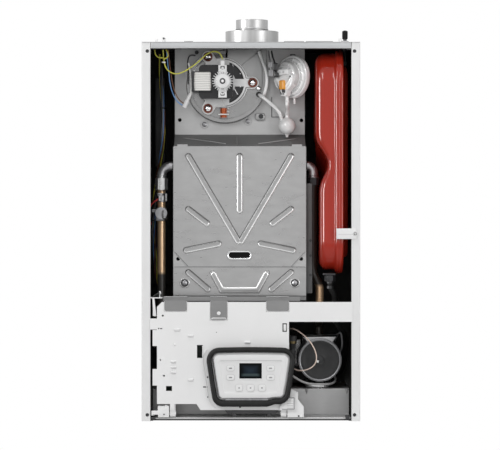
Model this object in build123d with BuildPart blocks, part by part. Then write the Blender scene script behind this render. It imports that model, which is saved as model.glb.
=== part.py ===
from build123d import *
import math
import os

os.makedirs("parts", exist_ok=True)

# Millimetres. X runs to the right and Z up as seen from the front. The wall is the plane Y = 0, and
# the front looks along -Y. Sizes called "depth" are distances from the wall.

# ---------------------------------------------------------------- casing
casing_width = 400
casing_height = 694
casing_depth = 280
sheet = 1.2
sheet_bend = 2.0
front_flange = 16.5
flange_return = 12
back_return = 10
top_lip = 10.4
seam = 0.3
cover_hole_radius = 3.5
cover_hole_inset = 10.5
cover_hole_low = 11.5
cover_hole_drop = 17
cover_hole_high = casing_height - cover_hole_drop
hook_spacing = 300
hook_drop = 34
hook_height = casing_height - hook_drop
hook_radius = 5
half_width = casing_width / 2

# ---------------------------------------------------------------- flue
flue_x = 2
flue_depth = 140
flue_radius = 30
flue_wall = 0.8
flue_rise = 51
flue_top = casing_height + flue_rise
flue_length = 57
collar_radius = 50
collar_wall = 1.0
collar_height = 29
collar_flange = 10
flange_thickness = 1.5
flue_clearance = 1.0

# ---------------------------------------------------------------- bottom tray and connections
tray_plate_height = 54
tray_plate_depth = 205
tray_floor_height = 6
front_setback = 8
tray_floor_depth = casing_depth - front_setback
tray_lip = 2.5
tray_bend = 1.5
tail_pitch = 65
tail_depth = 90
tail_end = 12
heating_tail_radius = 13.2
water_tail_radius = 10.5
tail_bore = 7.5
tail_clearance = 1.5
tail_bore_stop = 8

# ---------------------------------------------------------------- combustion chamber
chamber_x = -20.8
side_room = 154
chamber_width = casing_width - side_room
chamber_left = chamber_x - chamber_width / 2
chamber_right = chamber_x + chamber_width / 2
chamber_bottom = 228.2
chamber_split = 281.7
chamber_top = 504.8
chamber_depth = 225
chamber_back = 25
cover_sheet = 1.0
cover_tab_width = 19
cover_tab_height = 3.4
cover_tab_inset = 16
cover_chamfer_x = 24
cover_chamfer_z = 27
rib_height = 2.0
rib_width = 9.6
rib_side = 1.2
rib_margin = 28
short_rib_reach = 34
low_rib_step = 4
corner_rib_reach = 36
# ends of the ribs: X from the chamber's middle, and Z
rib_start = rib_margin - chamber_width / 2
long_rib = ((rib_start, 486), (-3, 329))
short_rib = ((rib_start, 388), (rib_start + short_rib_reach, 362))
low_rib = ((rib_start - low_rib_step, 312), (-39, 324))
middle_rib = (486, 386)
corner_rib = ((rib_start, 271), (rib_start + corner_rib_reach, 240))
trough_top_half = 51
trough_bottom_half = 33
trough_top = 271
trough_bottom = 238.5
sight_offset = -0.3
sight_above_split = 21.3
sight_width = 40.4
sight_opening = 11.4
sight_rim = 3.2
sight_glass_thickness = 3
sight_glass_margin = 4
corner_overlap = 6
corner_hole_inset = 8
corner_hole_rise = 14.5
cover_screw_inset = 20
cover_screw_height = 251.5

# ---------------------------------------------------------------- cross member
member_margin = 39
member_left = member_margin - half_width
member_right = 90
member_bottom = 219.6
member_height = 8.2
member_depth = casing_depth - front_setback
member_reach = 6
member_web = 1
tab_proud = 1.5
tab_depth = casing_depth + tab_proud
tab_sheet = 1.0
tab_side_drop = 18
tab_middle_drop = 34
tab_side_width = 40
tab_middle_width = 30
tab_left_inset = 23.3
tab_left_x = member_left + tab_left_inset
tab_middle_x = -58.8
tab_right_x = 49
tab_hole_radius = 3.5
tab_hole_drop = 22
tab_corner = 3

# ---------------------------------------------------------------- hood and fan
hood_front_depth = 165
hood_rise = 23.8
hood_front_bottom = chamber_top + hood_rise
hood_drop = 4
hood_top = casing_height - hood_drop
plate_hole_left = 10.3
plate_hole_right = 7.4
plate_holes = ((chamber_left + plate_hole_left, 556), (chamber_right - plate_hole_right, 555.3))
fan_x = -52.4
fan_drop = 69.4
fan_z = casing_height - fan_drop
fan_screw_left = 34.5
fan_screw_right = 46.6
fan_screw_rise_left = 18.9
fan_screw_rise_right = 25.1
scroll_proud = 17
scroll_depth = hood_front_depth + scroll_proud
scroll_back = 112
scroll_wall = 1.5
scroll_start = 60
scroll_end = 80.6
scroll_drop = 3
scroll_top = hood_top - scroll_drop
scroll_gap = 1.0
outlet_radius = 28
outlet_rise = 6
eye_radius = 30
impeller_radius = 50
impeller_front_gap = 12
impeller_front = scroll_depth - impeller_front_gap
impeller_back_gap = 10
impeller_back = scroll_back + impeller_back_gap
impeller_disc = 2
impeller_blades = 24
blade_length = 9
blade_thickness = 1.2
blade_margin = 1
blade_angle = 35
plate_disc_radius = 47
plate_thickness = 3
plate_standoff = 3
plate_window_radius = 39.8
plate_window_hub = 24
plate_window_left = 12
plate_spoke_half = 7
lobe_radius = 11.5
lobe_reach = 55.5
lobe_first_angle = 0
lobe_count = 3
grommet_radius = 8.4
grommet_neck = 6
grommet_flange = 2.5
screw_head_radius = 4.6
screw_head_height = 2.6
screw_shank_radius = 1.9
screw_shank_length = 6
stack_reach = 44
stack_left = fan_x - stack_reach
stack_width = 63
stack_height = 62
stack_stand = 18
stack_thickness = 25
stack_back = scroll_depth + stack_stand
stack_front = stack_back + stack_thickness
stack_corner = 8
rotor_radius = 15.7
rotor_gap = 0.3
yoke_width = 12.5
window_width = 10.5
coil_height = 33.5
coil_side = 9
coil_overhang = 8
coil_front = stack_front + coil_overhang
coil_back = stack_back - coil_overhang
shaft_radius = 3
shaft_reach = 3
running_gap = 0.05
bridge_width = 15.4
bridge_height = 60
bridge_sheet = 2
bridge_stand = 9.5
bridge_front = stack_front + bridge_stand
bridge_foot = 6
post_radius = 3.5
post_inset_left = 12
post_inset_right = 8
post_rise = 23
bridge_tab_half = 3.5
bridge_tab_rise = 8
bridge_tab_sheet = 1
wheel_radius = 19.4
wheel_disc_radius = 13
wheel_stand = 6.5
wheel_front = bridge_front + wheel_stand
shaft_front = wheel_front + shaft_reach
wheel_thickness = 3
wheel_fins = 24
fin_thickness = 1.1
fin_root = 2
coil_corner = 2.5
choke_radius = 6
choke_height = 19
choke_offset = 1.3
choke_drop = 56.6
choke_x = fan_x + choke_offset
choke_z = fan_z - choke_drop

# ---------------------------------------------------------------- air pressure switch
switch_inset = 23.8
switch_clearance = 5.3
switch_drop = 59.5
switch_x = chamber_right - switch_inset
switch_z = casing_height - switch_drop
switch_radius = 41.9
switch_thickness = 16
switch_turn = 46
switch_depth = (hood_front_depth + switch_clearance + switch_radius * math.sin(math.radians(switch_turn))
                + switch_thickness / 2 * math.cos(math.radians(switch_turn)))
switch_hub_radius = 27
switch_hub_height = 16
switch_plug_width = 22
switch_plug_height = 26
switch_plug_length = 12
switch_plug_corner = 2
switch_foot_offset = 6
switch_foot_width = 10
switch_foot_reach = 4
switch_foot_rise = 9
nipple_radius = 3
nipple_length = 14
trap_offset = 11
trap_x = switch_x - trap_offset
trap_depth = 190
trap_z = 543.7
trap_radius = 15.9
trap_neck = 6
fan_tube_radius = 2.5
silicone_radius = 3

# ---------------------------------------------------------------- heat exchanger, pipes, burner
pipe_radius = 7.5
elbow_radius = 8.6
pipe_depth = 190
elbow_height = 469
flow_reach = 23.1
flow_x = chamber_left - flow_reach
return_reach = 13.8
return_x = chamber_right + return_reach
elbow_end = 446.6
flow_bend = 19
return_bend = 12
nut_flats = 20
flow_nut_bottom = 424.2
return_nut_bottom = 433
wall_hole_clearance = 1.5
fin_block_inset_left = 23.8
fin_block_left = chamber_left + fin_block_inset_left
fin_block_inset_right = 24.2
fin_block_right = chamber_right - fin_block_inset_right
fin_block_bottom = 442
fin_block_top = 496
fin_block_front = 212
fin_block_back = 45
fin_count = 22
fin_sheet = 1.2
tube_count = 5
tube_pitch = 30
tube_radius = 8
tube_overhang = 8
header_gap = 6
header_width = 6
header_margin = 10
flow_turn_height = 175
flow_pipe_bend = 25
return_jog_top = 268
return_jog_bottom = 246
return_slant_top = 196
return_slant_bottom = 172
return_jog_bend = 22
return_slant_bend = 14
return_foot_bend = 9
burner_inset = 26
burner_left = chamber_left + burner_inset
burner_right = chamber_right - burner_inset
burner_bottom = 246
burner_top = 288
burner_front = 196
burner_back = 50
blade_count = 12
burner_blade = 9
manifold_height = 12
manifold_depth = 14
rail_height = 10
rail_thickness = 3
electrode_radius = 4
electrode_tip_radius = 1.2
electrode_body = 32
electrode_tip = 12
electrode_gap = 7
electrode_offsets = (-40, -28, 42)
sensor_bottom = 402
sensor_height = 16
sensor_band = 1.4
sensor_plug_bottom = 404
sensor_plug_height = 10
sensor_plug_left = 4
sensor_plug_right = 5
sensor_plug_length = 5
clip_stand = 1
thermostat_bottom = 370
thermostat_height = 21
thermostat_band = 2
thermostat_disc = 381
thermostat_radius = 11
thermostat_thickness = 8

# ---------------------------------------------------------------- expansion vessel
vessel_side_gap = 20.5
right_shell_width = 9.5
rim_width = 14
left_shell_width = 37.2
low_face_step = 7.7
vessel_setback = 14
vessel_right = half_width - vessel_side_gap
vessel_rim_right = vessel_right - right_shell_width
vessel_rim_left = vessel_rim_right - rim_width
vessel_left = vessel_rim_left - left_shell_width
vessel_low_left = vessel_left + low_face_step
vessel_front = casing_depth - vessel_setback
vessel_back = 46
vessel_bottom = 276
vessel_drop = 17
vessel_top = casing_height - vessel_drop
vessel_corner = 52
vessel_crown = 16
rim_reach = 6
right_shell_inset = 22
notch_offset = 22.3
notch_x = vessel_left - notch_offset
notch_z = 471
notch_radius = 46.5
notch_low = 432
vessel_wall = 4
clip_inset = 0.5
clip_left = vessel_rim_left + clip_inset
clip_margin = 0.4
clip_right = half_width - front_flange + clip_margin
clip_bottom = 333.3
clip_top = 352.5
clip_tongue = 9
clip_sheet = 1.5
valve_inset = 4
valve_x = vessel_right - valve_inset
valve_depth = 190
valve_stem_radius = 3.5
valve_cap_radius = 4.4
valve_cap_stand = 12
valve_cap_height = 15
valve_cap_bottom = casing_height + valve_cap_stand
valve_cap_top = valve_cap_bottom + valve_cap_height
valve_nut_height = 8
valve_base_radius = 6.5
valve_base_height = 4
valve_cap_cover = 4
fitting_offset = 10
fitting_setback = 31
fitting_x = vessel_rim_left - fitting_offset
fitting_depth = vessel_front - fitting_setback
fitting_plate = 13
fitting_plate_offset = 4
fitting_plate_reach = 10
fitting_plate_sheet = 4
fitting_nut_flats = 17
fitting_nut_height = 11
hose_radius = 5.2

# ---------------------------------------------------------------- pump and hydraulics
pump_inset = 71.5
pump_x = half_width - pump_inset
pump_z = 107.8
pump_back = 116
pump_case_depth = 34
pump_can_length = 55
pump_can_radius = 37.5
pump_ring_radius = 40
pump_ring_width = 14
pump_face_radius = 34.4
pump_face_depth = 1.5
pump_case_radius = 42
pump_case_wall = 4
pump_rotor_radius = 15
pump_rotor_gap = 0.5
pump_impeller_radius = 33
pump_shaft_radius = 4
pump_front_wall = 2.5
impeller_clearance = 2
impeller_thickness = 15
pump_vanes = 6
vane_sheet = 2
rotor_front_gap = 8
rotor_back_gap = 6
rotor_end_gap = 1
neck_top = 151
neck_width = 62
neck_depth = 30
block_bottom = 60
block_top = 90
block_front = 115
block_back = 66
left_block_start = -150
left_block_end = -45
right_block_start = 45
right_block_end = 150
exchanger_half_width = 95
exchanger_back = 24
exchanger_bottom = 66
exchanger_top = 138
exchanger_plate = 2.0
exchanger_pitch = 3.6
exchanger_core_inset = 3
exchanger_core_bite = 1
diverter_x = -92
diverter_depth = 150
diverter_side = 46
diverter_bottom = 92
diverter_top = 140
diverter_corner = 5
diverter_post_depth = 129
diverter_post_radius = 6
spindle_radius = 4
spindle_depth = 160
spindle_tip = 80
spindle_guide = 14
valve_half_width = 40
valve_front = 178
valve_back = 70
valve_bottom = 76
valve_top = 160
gas_pipe_radius = 8
gas_pipe_depth = 150
gas_bend_low = 196
gas_bend_high = 212
gas_low_bend = 15
gas_high_bend = 12
gas_pipe_bite = 4
relief_x = 62
relief_z = 75
relief_stem_radius = 4
relief_knob_radius = 14
relief_knob_front = 160
relief_knob_length = 18
relief_boss = 20
relief_seat = 10
boss_half_width = 14
tap_x = -97.5
tap_depth = 150
tap_block_top = 74
tap_stem_radius = 4
tap_knob_radius = 13
tap_knob_top = 40
tap_knob_height = 18
knob_flutes = 8
flute_radius = 3
flute_rise = 1.2

# ---------------------------------------------------------------- control box
box_inset = 28.2
box_left = box_inset - half_width
box_right = 69.6
box_top = 218.1
box_bottom = 20.6
plate_gap = 0.3
plate_sheet = 1.5
arm_inset = 14.3
arm_right = half_width - arm_inset
arm_bottom = 181.9
left_tab_inset = 15.4
left_tab_reach = half_width - left_tab_inset
left_tab_bottom = 167.8
left_tab_top = 187.9
# X of these from the box's left edge
left_tab_slit = (6, 169.6)
fascia_slit = (88.3, 62.7)
slit_length = 8
slit_height = 2.2
tab_gap = 1.2
cover_corner = 9
foot_notch_height = 11
foot_notch_right = -92.2
foot_notch_inner = -99.5
foot_notch_reach = 40.3
foot_notch_left = foot_notch_inner - foot_notch_reach
strip_width = 8
upper_strip = (137.6, 166.9)
lower_strip = (65.4, 95.6)
pin_holes = ((10.6, 193.2), (12.8, 83.3), (93.3, 44.4), (5.8, 112))
pin_hole_radius = 1.8
cable_slot = (78.7, 127.6)
cable_slot_width = 11
cable_slot_height = 23.8
catch_hole = (22, 60)
catch_width = 11
catch_height = 9
tub_left_inset = 3.8
tub_right_inset = 3.6
tub_left = box_left + tub_left_inset
tub_right = box_right - tub_right_inset
tub_bottom = 31.5
tub_top = 172
tub_length = 65
tub_depth = casing_depth - tub_length
tub_wall = 2
pivot_setback = 9
pivot_depth = casing_depth - pivot_setback
pivot_height = 14
pivot_radius = 3
ear_radius = 6.5
ear_width = 10
ear_height = 45
left_ear_inset = 23.8
left_ear = box_left + left_ear_inset
right_ear_inset = 14.6
right_ear = box_right - right_ear_inset
bracket_setback = 0.5
bracket_thickness = 17.5
bracket_inset = 1.8
bracket_reach = 27.1
bracket_front = casing_depth - bracket_setback
bracket_back = bracket_front - bracket_thickness
bracket_left = box_left + bracket_inset
bracket_right = box_right + bracket_reach
bracket_block_top = 28
bracket_gap = 1.8
bracket_post_top = 58.9
bracket_shoulder = 26
bracket_step_reach = 16.5
bracket_step_x = box_right + bracket_step_reach
bracket_step_low = 39.7
bracket_step_high = 52.5
bracket_peak_reach = 4.6
bracket_peak_x = box_right + bracket_peak_reach
bracket_heel = 18.7
hinge_arm_bottom = 10.5
latch_setback = 1
latch_sheet = 3
latch_front = casing_depth - latch_setback
latch_back = latch_front - latch_sheet
latch_bottom = 224.5
latch_top = 227.2
latch_inset = 9.1
latch_tab_inset = 1.9
latch_tab_sheet = 2.2
latch_right = box_left + latch_inset
latch_tab_right = latch_right - latch_tab_inset
latch_tab_left = latch_tab_right - latch_tab_sheet
latch_tab_top = 236.4
latch_leg_reach = 16.8
latch_leg_left = latch_right - latch_leg_reach
latch_leg_right = latch_leg_left + latch_sheet
latch_leg_bottom = 192.5
knuckle_inset = 16.5
knuckle_reach = 8.2
knuckle_left = box_right - knuckle_inset
knuckle_right = box_right + knuckle_reach
knuckle_top = 41.9
knuckle_post = 6.3
knuckle_proud = 5

# fascia, display and buttons
fascia_x = 0
fascia_top = 135.5
fascia_bottom = 28
fascia_top_half = 84.2
fascia_bottom_half = 68
fascia_crown = 2
fascia_top_corner = 22
fascia_bottom_corner = 20
gasket_width = 8.8
gasket_proud = 19
gasket_step = 2
gasket_front = casing_depth + gasket_proud
fascia_front = gasket_front - gasket_step
fascia_wall = 2.5
fascia_gap = 0.3
fascia_round = 1.5
display_x = -0.7
display_width = 40.6
display_height = 28
display_z = 93.1
board_setback = 11
board_depth = fascia_front - board_setback
board_thickness = 1.6
board_half_width = 52
board_bottom = 50
board_top = 122
board_post_x = 48
board_post_low = 58
board_post_high = 116
board_post_radius = 3
key_post_radius = 2.4
button_proud = 1.2
button_travel = 0.8
button_gap = 0.35
button_flange = 1.0
side_button = (13.6, 9.2)
low_button = (12.6, 11.4)
side_button_x = 36.5
side_button_z = (97.9, 81.1)
low_button_x = 20.8
low_button_z = 62.1
button_corner = 3.4
button_round = 0.5
main_board_margin = 2.5
main_board_drop = 10
main_board_stand = 25
main_board_bottom = tub_bottom + main_board_margin
main_board_top = tub_top - main_board_drop
main_board_depth = tub_depth + main_board_stand
board_edge = 8
relay_height = 16
relay_half = 9
relay_bottom = 60
relay_top = 84
relay_places = (-140, -110, -80, 20, 45)
transformer_left = -60
transformer_right = -10
transformer_bottom = 100
transformer_top = 142
transformer_height = 24


def front_plane(depth):
    """The plane at this distance from the wall, seen from the front: X to the right, Z up."""
    return Plane(origin=(0, -depth, 0), x_dir=(1, 0, 0), z_dir=(0, -1, 0))


def block(x, y, z, mode=Mode.ADD):
    """A box between two X, two Y and two Z values."""
    with Locations(((x[0] + x[1]) / 2, (y[0] + y[1]) / 2, (z[0] + z[1]) / 2)):
        Box(abs(x[1] - x[0]), abs(y[1] - y[0]), abs(z[1] - z[0]), mode=mode)


def rod(start, end, radius, mode=Mode.ADD, bore=0):
    """A round bar or, with a bore, a straight tube from one point to another."""
    run = Vector(*end) - Vector(*start)
    with BuildSketch(Plane(origin=start, z_dir=run), mode=Mode.PRIVATE) as section:
        Circle(radius)
        if bore:
            Circle(bore, mode=Mode.SUBTRACT)
    extrude(section.sketch, amount=run.length, mode=mode)


def pipe(points, bends, radius):
    """A round pipe along straight runs joined by bends."""
    with BuildLine(mode=Mode.PRIVATE) as route:
        FilletPolyline(*points, radius=bends)
    with BuildSketch(Plane(origin=route.line @ 0, z_dir=route.line % 0), mode=Mode.PRIVATE) as section:
        Circle(radius)
    sweep(section.sketch, path=route.line)
    return sum(edge.length for edge in route.line.edges())


def bend_radii(points):
    """The largest arc for each corner: 0.45 of the shorter run over the tangent of half the turn."""
    radii = []
    for before, corner, after in zip(points, points[1:], points[2:]):
        run_in = Vector(*corner) - Vector(*before)
        run_out = Vector(*after) - Vector(*corner)
        half_turn = math.radians(run_in.get_angle(run_out)) / 2
        radii.append(0.45 * min(run_in.length, run_out.length) / math.tan(half_turn))
    return radii


def lead(name, points, radius):
    """A wire, hose or capillary along hand-chosen points. Prints its tightest bend and length."""
    radii = bend_radii(points)
    with BuildPart(mode=Mode.PRIVATE) as run:
        length = pipe(points, radii, radius)
    share = run.part.volume / (math.pi * radius**2 * length)
    print(f"{name}: tightest bend {min(radii):.1f}, length {length:.0f}, volume share {share:.4f}")
    add(run.part)


def folded_sheet(plane, points, length, side, thickness=sheet, bend=sheet_bend):
    """A bent sheet: its outer line, thickened to one side and extruded."""
    with BuildSketch(plane, mode=Mode.PRIVATE) as section:
        with BuildLine():
            FilletPolyline(*points, radius=bend)
            offset(amount=thickness, side=side)
        make_face()
    extrude(section.sketch, amount=length)


def hex_nut(centre_x, depth, low, high, flats):
    """A hexagon standing on end along Z."""
    with BuildSketch(Plane.XY.offset(low), mode=Mode.PRIVATE) as section:
        with Locations((centre_x, -depth)):
            RegularPolygon(flats / 2, 6, major_radius=False)
    extrude(section.sketch, amount=high - low)


def rib(start, end):
    """A pressed rib on a cover, a tapered slot between two points measured from the chamber's middle."""
    run = Vector(*end) - Vector(*start)
    middle = (Vector(*start) + Vector(*end)) / 2
    with BuildSketch(front_plane(chamber_depth), mode=Mode.PRIVATE) as section:
        with Locations((chamber_x + middle.X, middle.Y)):
            SlotCenterToCenter(run.length, rib_width, rotation=math.degrees(math.atan2(run.Y, run.X)))
    extrude(section.sketch, amount=rib_height, taper=math.degrees(math.atan(rib_side / rib_height)))


def mirrored_ribs(start, end):
    """The same rib on both sides of the chamber's middle."""
    rib(start, end)
    rib((-start[0], start[1]), (-end[0], end[1]))


parts = {}


def finish(name, builder):
    """Labels a finished piece and keeps it for the export."""
    builder.part.label = name
    parts[name] = builder.part


# ---------------------------------------------------------------- derived places
wall_inner = half_width - sheet
side_height = casing_height - sheet
flange_inner = half_width - front_flange
opening_half = flange_inner - sheet - seam
floor_top = tray_floor_height + sheet
tail_places = [tail_pitch * step for step in (-2, -1, 0, 1, 2)]
cover_holes = [(side * (half_width - cover_hole_inset), z) for side in (-1, 1) for z in
               (cover_hole_low, cover_hole_high)]
pump_flange_depth = pump_back + pump_case_depth
pump_front = pump_flange_depth + pump_can_length
pump_shaft_front = pump_front - pump_front_wall
neck_centre_depth = pump_back + pump_case_depth / 2
plate_back = casing_depth + plate_gap
plate_front = plate_back + plate_sheet

# ---------------------------------------------------------------- casing
with BuildPart() as back_panel:
    reach = wall_inner - seam
    folded_sheet(Plane.XY, [(-reach, -back_return), (-reach, 0), (reach, 0), (reach, -back_return)],
                 side_height, Side.RIGHT)
    for side in (-1, 1):
        hook_x = side * hook_spacing / 2
        rod((hook_x, -back_return, hook_height), (hook_x, back_return, hook_height), hook_radius,
            Mode.SUBTRACT)
finish("back_panel", back_panel)


def side_sheet(side):
    """A side wall with its front flange and the flange's return."""
    points = [(side * half_width, 0), (side * half_width, -casing_depth),
              (side * flange_inner, -casing_depth), (side * flange_inner, -casing_depth + flange_return)]
    folded_sheet(Plane.XY, points, side_height, Side.RIGHT if side > 0 else Side.LEFT)
    for hole_x, hole_z in cover_holes:
        if hole_x * side > 0:
            rod((hole_x, -casing_depth - sheet, hole_z), (hole_x, -casing_depth + 2 * sheet, hole_z),
                cover_hole_radius, Mode.SUBTRACT)


clip_screw_x = half_width - front_flange / 2 - 1
clip_screw_z = (clip_bottom + clip_top) / 2
with BuildPart() as side_panel_left:
    side_sheet(-1)
finish("side_panel_left", side_panel_left)

with BuildPart() as side_panel_right:
    side_sheet(1)
    rod((clip_screw_x, -casing_depth - sheet, clip_screw_z),
        (clip_screw_x, -casing_depth + 2 * sheet, clip_screw_z), screw_shank_radius + running_gap,
        Mode.SUBTRACT)
finish("side_panel_right", side_panel_right)

with BuildPart() as top_panel:
    block((-half_width, half_width), (-casing_depth, 0), (side_height, casing_height))
    block((-flange_inner + seam, flange_inner - seam), (-casing_depth, -casing_depth + sheet),
          (side_height - top_lip, side_height))
    rod((flue_x, -flue_depth, side_height - sheet), (flue_x, -flue_depth, casing_height + sheet),
        collar_radius - collar_wall, Mode.SUBTRACT)
    rod((valve_x, -valve_depth, side_height - sheet), (valve_x, -valve_depth, casing_height + sheet),
        valve_stem_radius + flue_clearance, Mode.SUBTRACT)
finish("top_panel", top_panel)

with BuildPart() as bottom_tray:
    tray_line = [(-sheet - seam, tray_plate_height), (-tray_plate_depth, tray_plate_height),
                 (-tray_plate_depth, tray_floor_height), (-tray_floor_depth, tray_floor_height),
                 (-tray_floor_depth, tray_floor_height - tray_lip)]
    folded_sheet(Plane.YZ.offset(-opening_half), tray_line, 2 * opening_half, Side.RIGHT, bend=tray_bend)
    for place in tail_places:
        rod((place, -tail_depth, tray_floor_height), (place, -tail_depth, tray_plate_height + 3 * sheet),
            heating_tail_radius + tail_clearance, Mode.SUBTRACT)
    rod((tap_x, -tap_depth, tap_knob_top), (tap_x, -tap_depth, tray_plate_height + 3 * sheet),
        tap_stem_radius + tail_clearance, Mode.SUBTRACT)
finish("bottom_tray", bottom_tray)

# ---------------------------------------------------------------- flue
with BuildPart() as flue_tube:
    rod((flue_x, -flue_depth, flue_top - flue_length), (flue_x, -flue_depth, flue_top), flue_radius,
        bore=flue_radius - flue_wall)
finish("flue_tube", flue_tube)

with BuildPart() as air_collar:
    rod((flue_x, -flue_depth, casing_height), (flue_x, -flue_depth, casing_height + collar_height),
        collar_radius, bore=collar_radius - collar_wall)
    rod((flue_x, -flue_depth, casing_height), (flue_x, -flue_depth, casing_height + flange_thickness),
        collar_radius + collar_flange, bore=collar_radius - collar_wall)
finish("air_collar", air_collar)

# ---------------------------------------------------------------- hood and fan
hood_left = chamber_left + sheet
hood_right = chamber_right - sheet
with BuildPart() as hood:
    with BuildSketch(Plane.YZ.offset(hood_left)):
        with BuildLine():
            Polyline((-chamber_depth + cover_sheet, chamber_top), (-hood_front_depth, hood_front_bottom),
                     (-hood_front_depth, hood_front_bottom - sheet),
                     (-chamber_depth + cover_sheet, chamber_top - sheet), close=True)
        make_face()
    extrude(amount=hood_right - hood_left)
    for x in ((hood_left, hood_left + sheet), (hood_right - sheet, hood_right)):
        block(x, (-hood_front_depth + sheet, -chamber_back), (hood_front_bottom, hood_top))
        block(x, (-hood_front_depth, -chamber_back), (chamber_top, hood_front_bottom))
    block((hood_left, hood_right), (-chamber_back - sheet, -chamber_back), (chamber_top, hood_top))
    block((hood_left, hood_right), (-hood_front_depth + sheet, -chamber_back), (hood_top - sheet, hood_top))
    rod((flue_x, -flue_depth, hood_top - 2 * sheet), (flue_x, -flue_depth, hood_top + sheet),
        flue_radius + flue_clearance, Mode.SUBTRACT)
finish("hood", hood)


def scroll_point(angle, reach=0.0):
    """A point of the fan's spiral; the radius grows from the top, anticlockwise to the right side."""
    radius = scroll_start + (scroll_end - scroll_start) * (angle - 90) / 270 + reach
    return (fan_x + radius * math.cos(math.radians(angle)), fan_z + radius * math.sin(math.radians(angle)))


def scroll_face(depth, reach):
    """The spiral outline with its straight outlet, at this depth, moved outwards by reach."""
    right, low = scroll_point(360, reach)
    with BuildSketch(front_plane(depth), mode=Mode.PRIVATE) as section:
        with BuildLine():
            for angle in (90, 180, 270):
                ThreePointArc(scroll_point(angle, reach), scroll_point(angle + 45, reach),
                              scroll_point(angle + 90, reach))
            Line((right, low), (right, scroll_top + reach))
            Line((right, scroll_top + reach), scroll_point(90, reach))
        make_face()
    return section.sketch


volute_depth = scroll_depth - scroll_back
with BuildPart() as fan_plate:
    with BuildSketch(front_plane(hood_front_depth - sheet)):
        with Locations(((hood_left + hood_right) / 2, (hood_front_bottom + hood_top) / 2)):
            Rectangle(hood_right - hood_left, hood_top - hood_front_bottom)
    extrude(amount=sheet)
    extrude(scroll_face(hood_front_depth - 2 * sheet, scroll_gap), amount=4 * sheet, mode=Mode.SUBTRACT)
    for hole_x, hole_z in plate_holes:
        rod((hole_x, -hood_front_depth - sheet, hole_z), (hole_x, -hood_front_depth + 2 * sheet, hole_z),
            cover_hole_radius, Mode.SUBTRACT)
    rod((flue_x, -flue_depth, scroll_top), (flue_x, -flue_depth, hood_top + sheet),
        flue_radius + flue_clearance, Mode.SUBTRACT)
    fan_screw_places = [(fan_x - fan_screw_left, hood_front_bottom + fan_screw_rise_left),
                        (fan_x + fan_screw_right, hood_front_bottom + fan_screw_rise_right)]
    for hole_x, hole_z in fan_screw_places:
        rod((hole_x, -hood_front_depth - sheet, hole_z), (hole_x, -hood_front_depth + 2 * sheet, hole_z),
            screw_shank_radius + running_gap, Mode.SUBTRACT)
finish("fan_plate", fan_plate)

lobe_places = [(fan_x + lobe_reach * math.cos(math.radians(lobe_first_angle + 360 / lobe_count * step)),
                fan_z + lobe_reach * math.sin(math.radians(lobe_first_angle + 360 / lobe_count * step)))
               for step in range(lobe_count)]
with BuildPart() as fan_volute:
    extrude(scroll_face(scroll_back, 0), amount=volute_depth)
    extrude(scroll_face(scroll_back + scroll_wall, -scroll_wall), amount=volute_depth - 2 * scroll_wall,
            mode=Mode.SUBTRACT)
    rod((fan_x, -scroll_back + scroll_wall, fan_z), (fan_x, -scroll_back - 2 * scroll_wall, fan_z),
        eye_radius, Mode.SUBTRACT)
    rod((fan_x, -scroll_depth - scroll_wall, fan_z), (fan_x, -scroll_depth + 2 * scroll_wall, fan_z),
        rotor_radius, Mode.SUBTRACT)
    rod((flue_x, -flue_depth, scroll_top - 2 * scroll_wall), (flue_x, -flue_depth, scroll_top + scroll_wall),
        outlet_radius - 2 * scroll_wall, Mode.SUBTRACT)
    rod((flue_x, -flue_depth, scroll_top - scroll_wall), (flue_x, -flue_depth, scroll_top + outlet_rise),
        outlet_radius, bore=outlet_radius - scroll_wall)
    for lobe_x, lobe_z in lobe_places:
        rod((lobe_x, -scroll_depth - scroll_wall, lobe_z), (lobe_x, -scroll_depth + 2 * scroll_wall, lobe_z),
            screw_shank_radius + running_gap, Mode.SUBTRACT)
finish("fan_volute", fan_volute)

plate_face = scroll_depth + plate_standoff + plate_thickness
with BuildSketch(front_plane(scroll_depth + plate_standoff)) as plate_windows:
    with Locations((fan_x, fan_z)):
        Circle(plate_window_radius)
        Circle(plate_window_hub, mode=Mode.SUBTRACT)
        Rectangle(2 * plate_window_radius, 2 * plate_spoke_half, mode=Mode.SUBTRACT)
    with Locations((fan_x + plate_window_left - plate_window_radius, fan_z)):
        Rectangle(2 * plate_window_radius, 2 * plate_window_radius, mode=Mode.SUBTRACT)

with BuildPart() as motor_plate:
    with BuildSketch(front_plane(scroll_depth + plate_standoff)):
        with Locations((fan_x, fan_z)):
            Circle(plate_disc_radius)
        with Locations(*lobe_places):
            Circle(lobe_radius)
        for lobe_x, lobe_z in lobe_places:
            turn = math.degrees(math.atan2(lobe_z - fan_z, lobe_x - fan_x))
            with Locations(((lobe_x + fan_x) / 2, (lobe_z + fan_z) / 2)):
                Rectangle(lobe_reach, 2 * lobe_radius, rotation=turn)
        with Locations(*lobe_places):
            Circle(grommet_neck, mode=Mode.SUBTRACT)
        with Locations((fan_x, fan_z)):
            Circle(rotor_radius, mode=Mode.SUBTRACT)
        add(plate_windows.sketch, mode=Mode.SUBTRACT)
    extrude(amount=plate_thickness)
    for post_x in (stack_left + post_inset_left, stack_left + stack_width - post_inset_right):
        for post_z in (fan_z - post_rise, fan_z + post_rise):
            rod((post_x, -plate_face, post_z), (post_x, -stack_back, post_z), post_radius)
finish("motor_plate", motor_plate)

with BuildPart() as fan_grommets:
    for lobe_x, lobe_z in lobe_places:
        rod((lobe_x, -scroll_depth, lobe_z), (lobe_x, -scroll_depth - plate_standoff, lobe_z),
            grommet_radius, bore=screw_shank_radius + running_gap)
        rod((lobe_x, -scroll_depth - plate_standoff, lobe_z), (lobe_x, -plate_face, lobe_z), grommet_neck,
            bore=screw_shank_radius + running_gap)
        rod((lobe_x, -plate_face, lobe_z), (lobe_x, -plate_face - grommet_flange, lobe_z), grommet_radius,
            bore=screw_shank_radius + running_gap)
finish("fan_grommets", fan_grommets)

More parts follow.
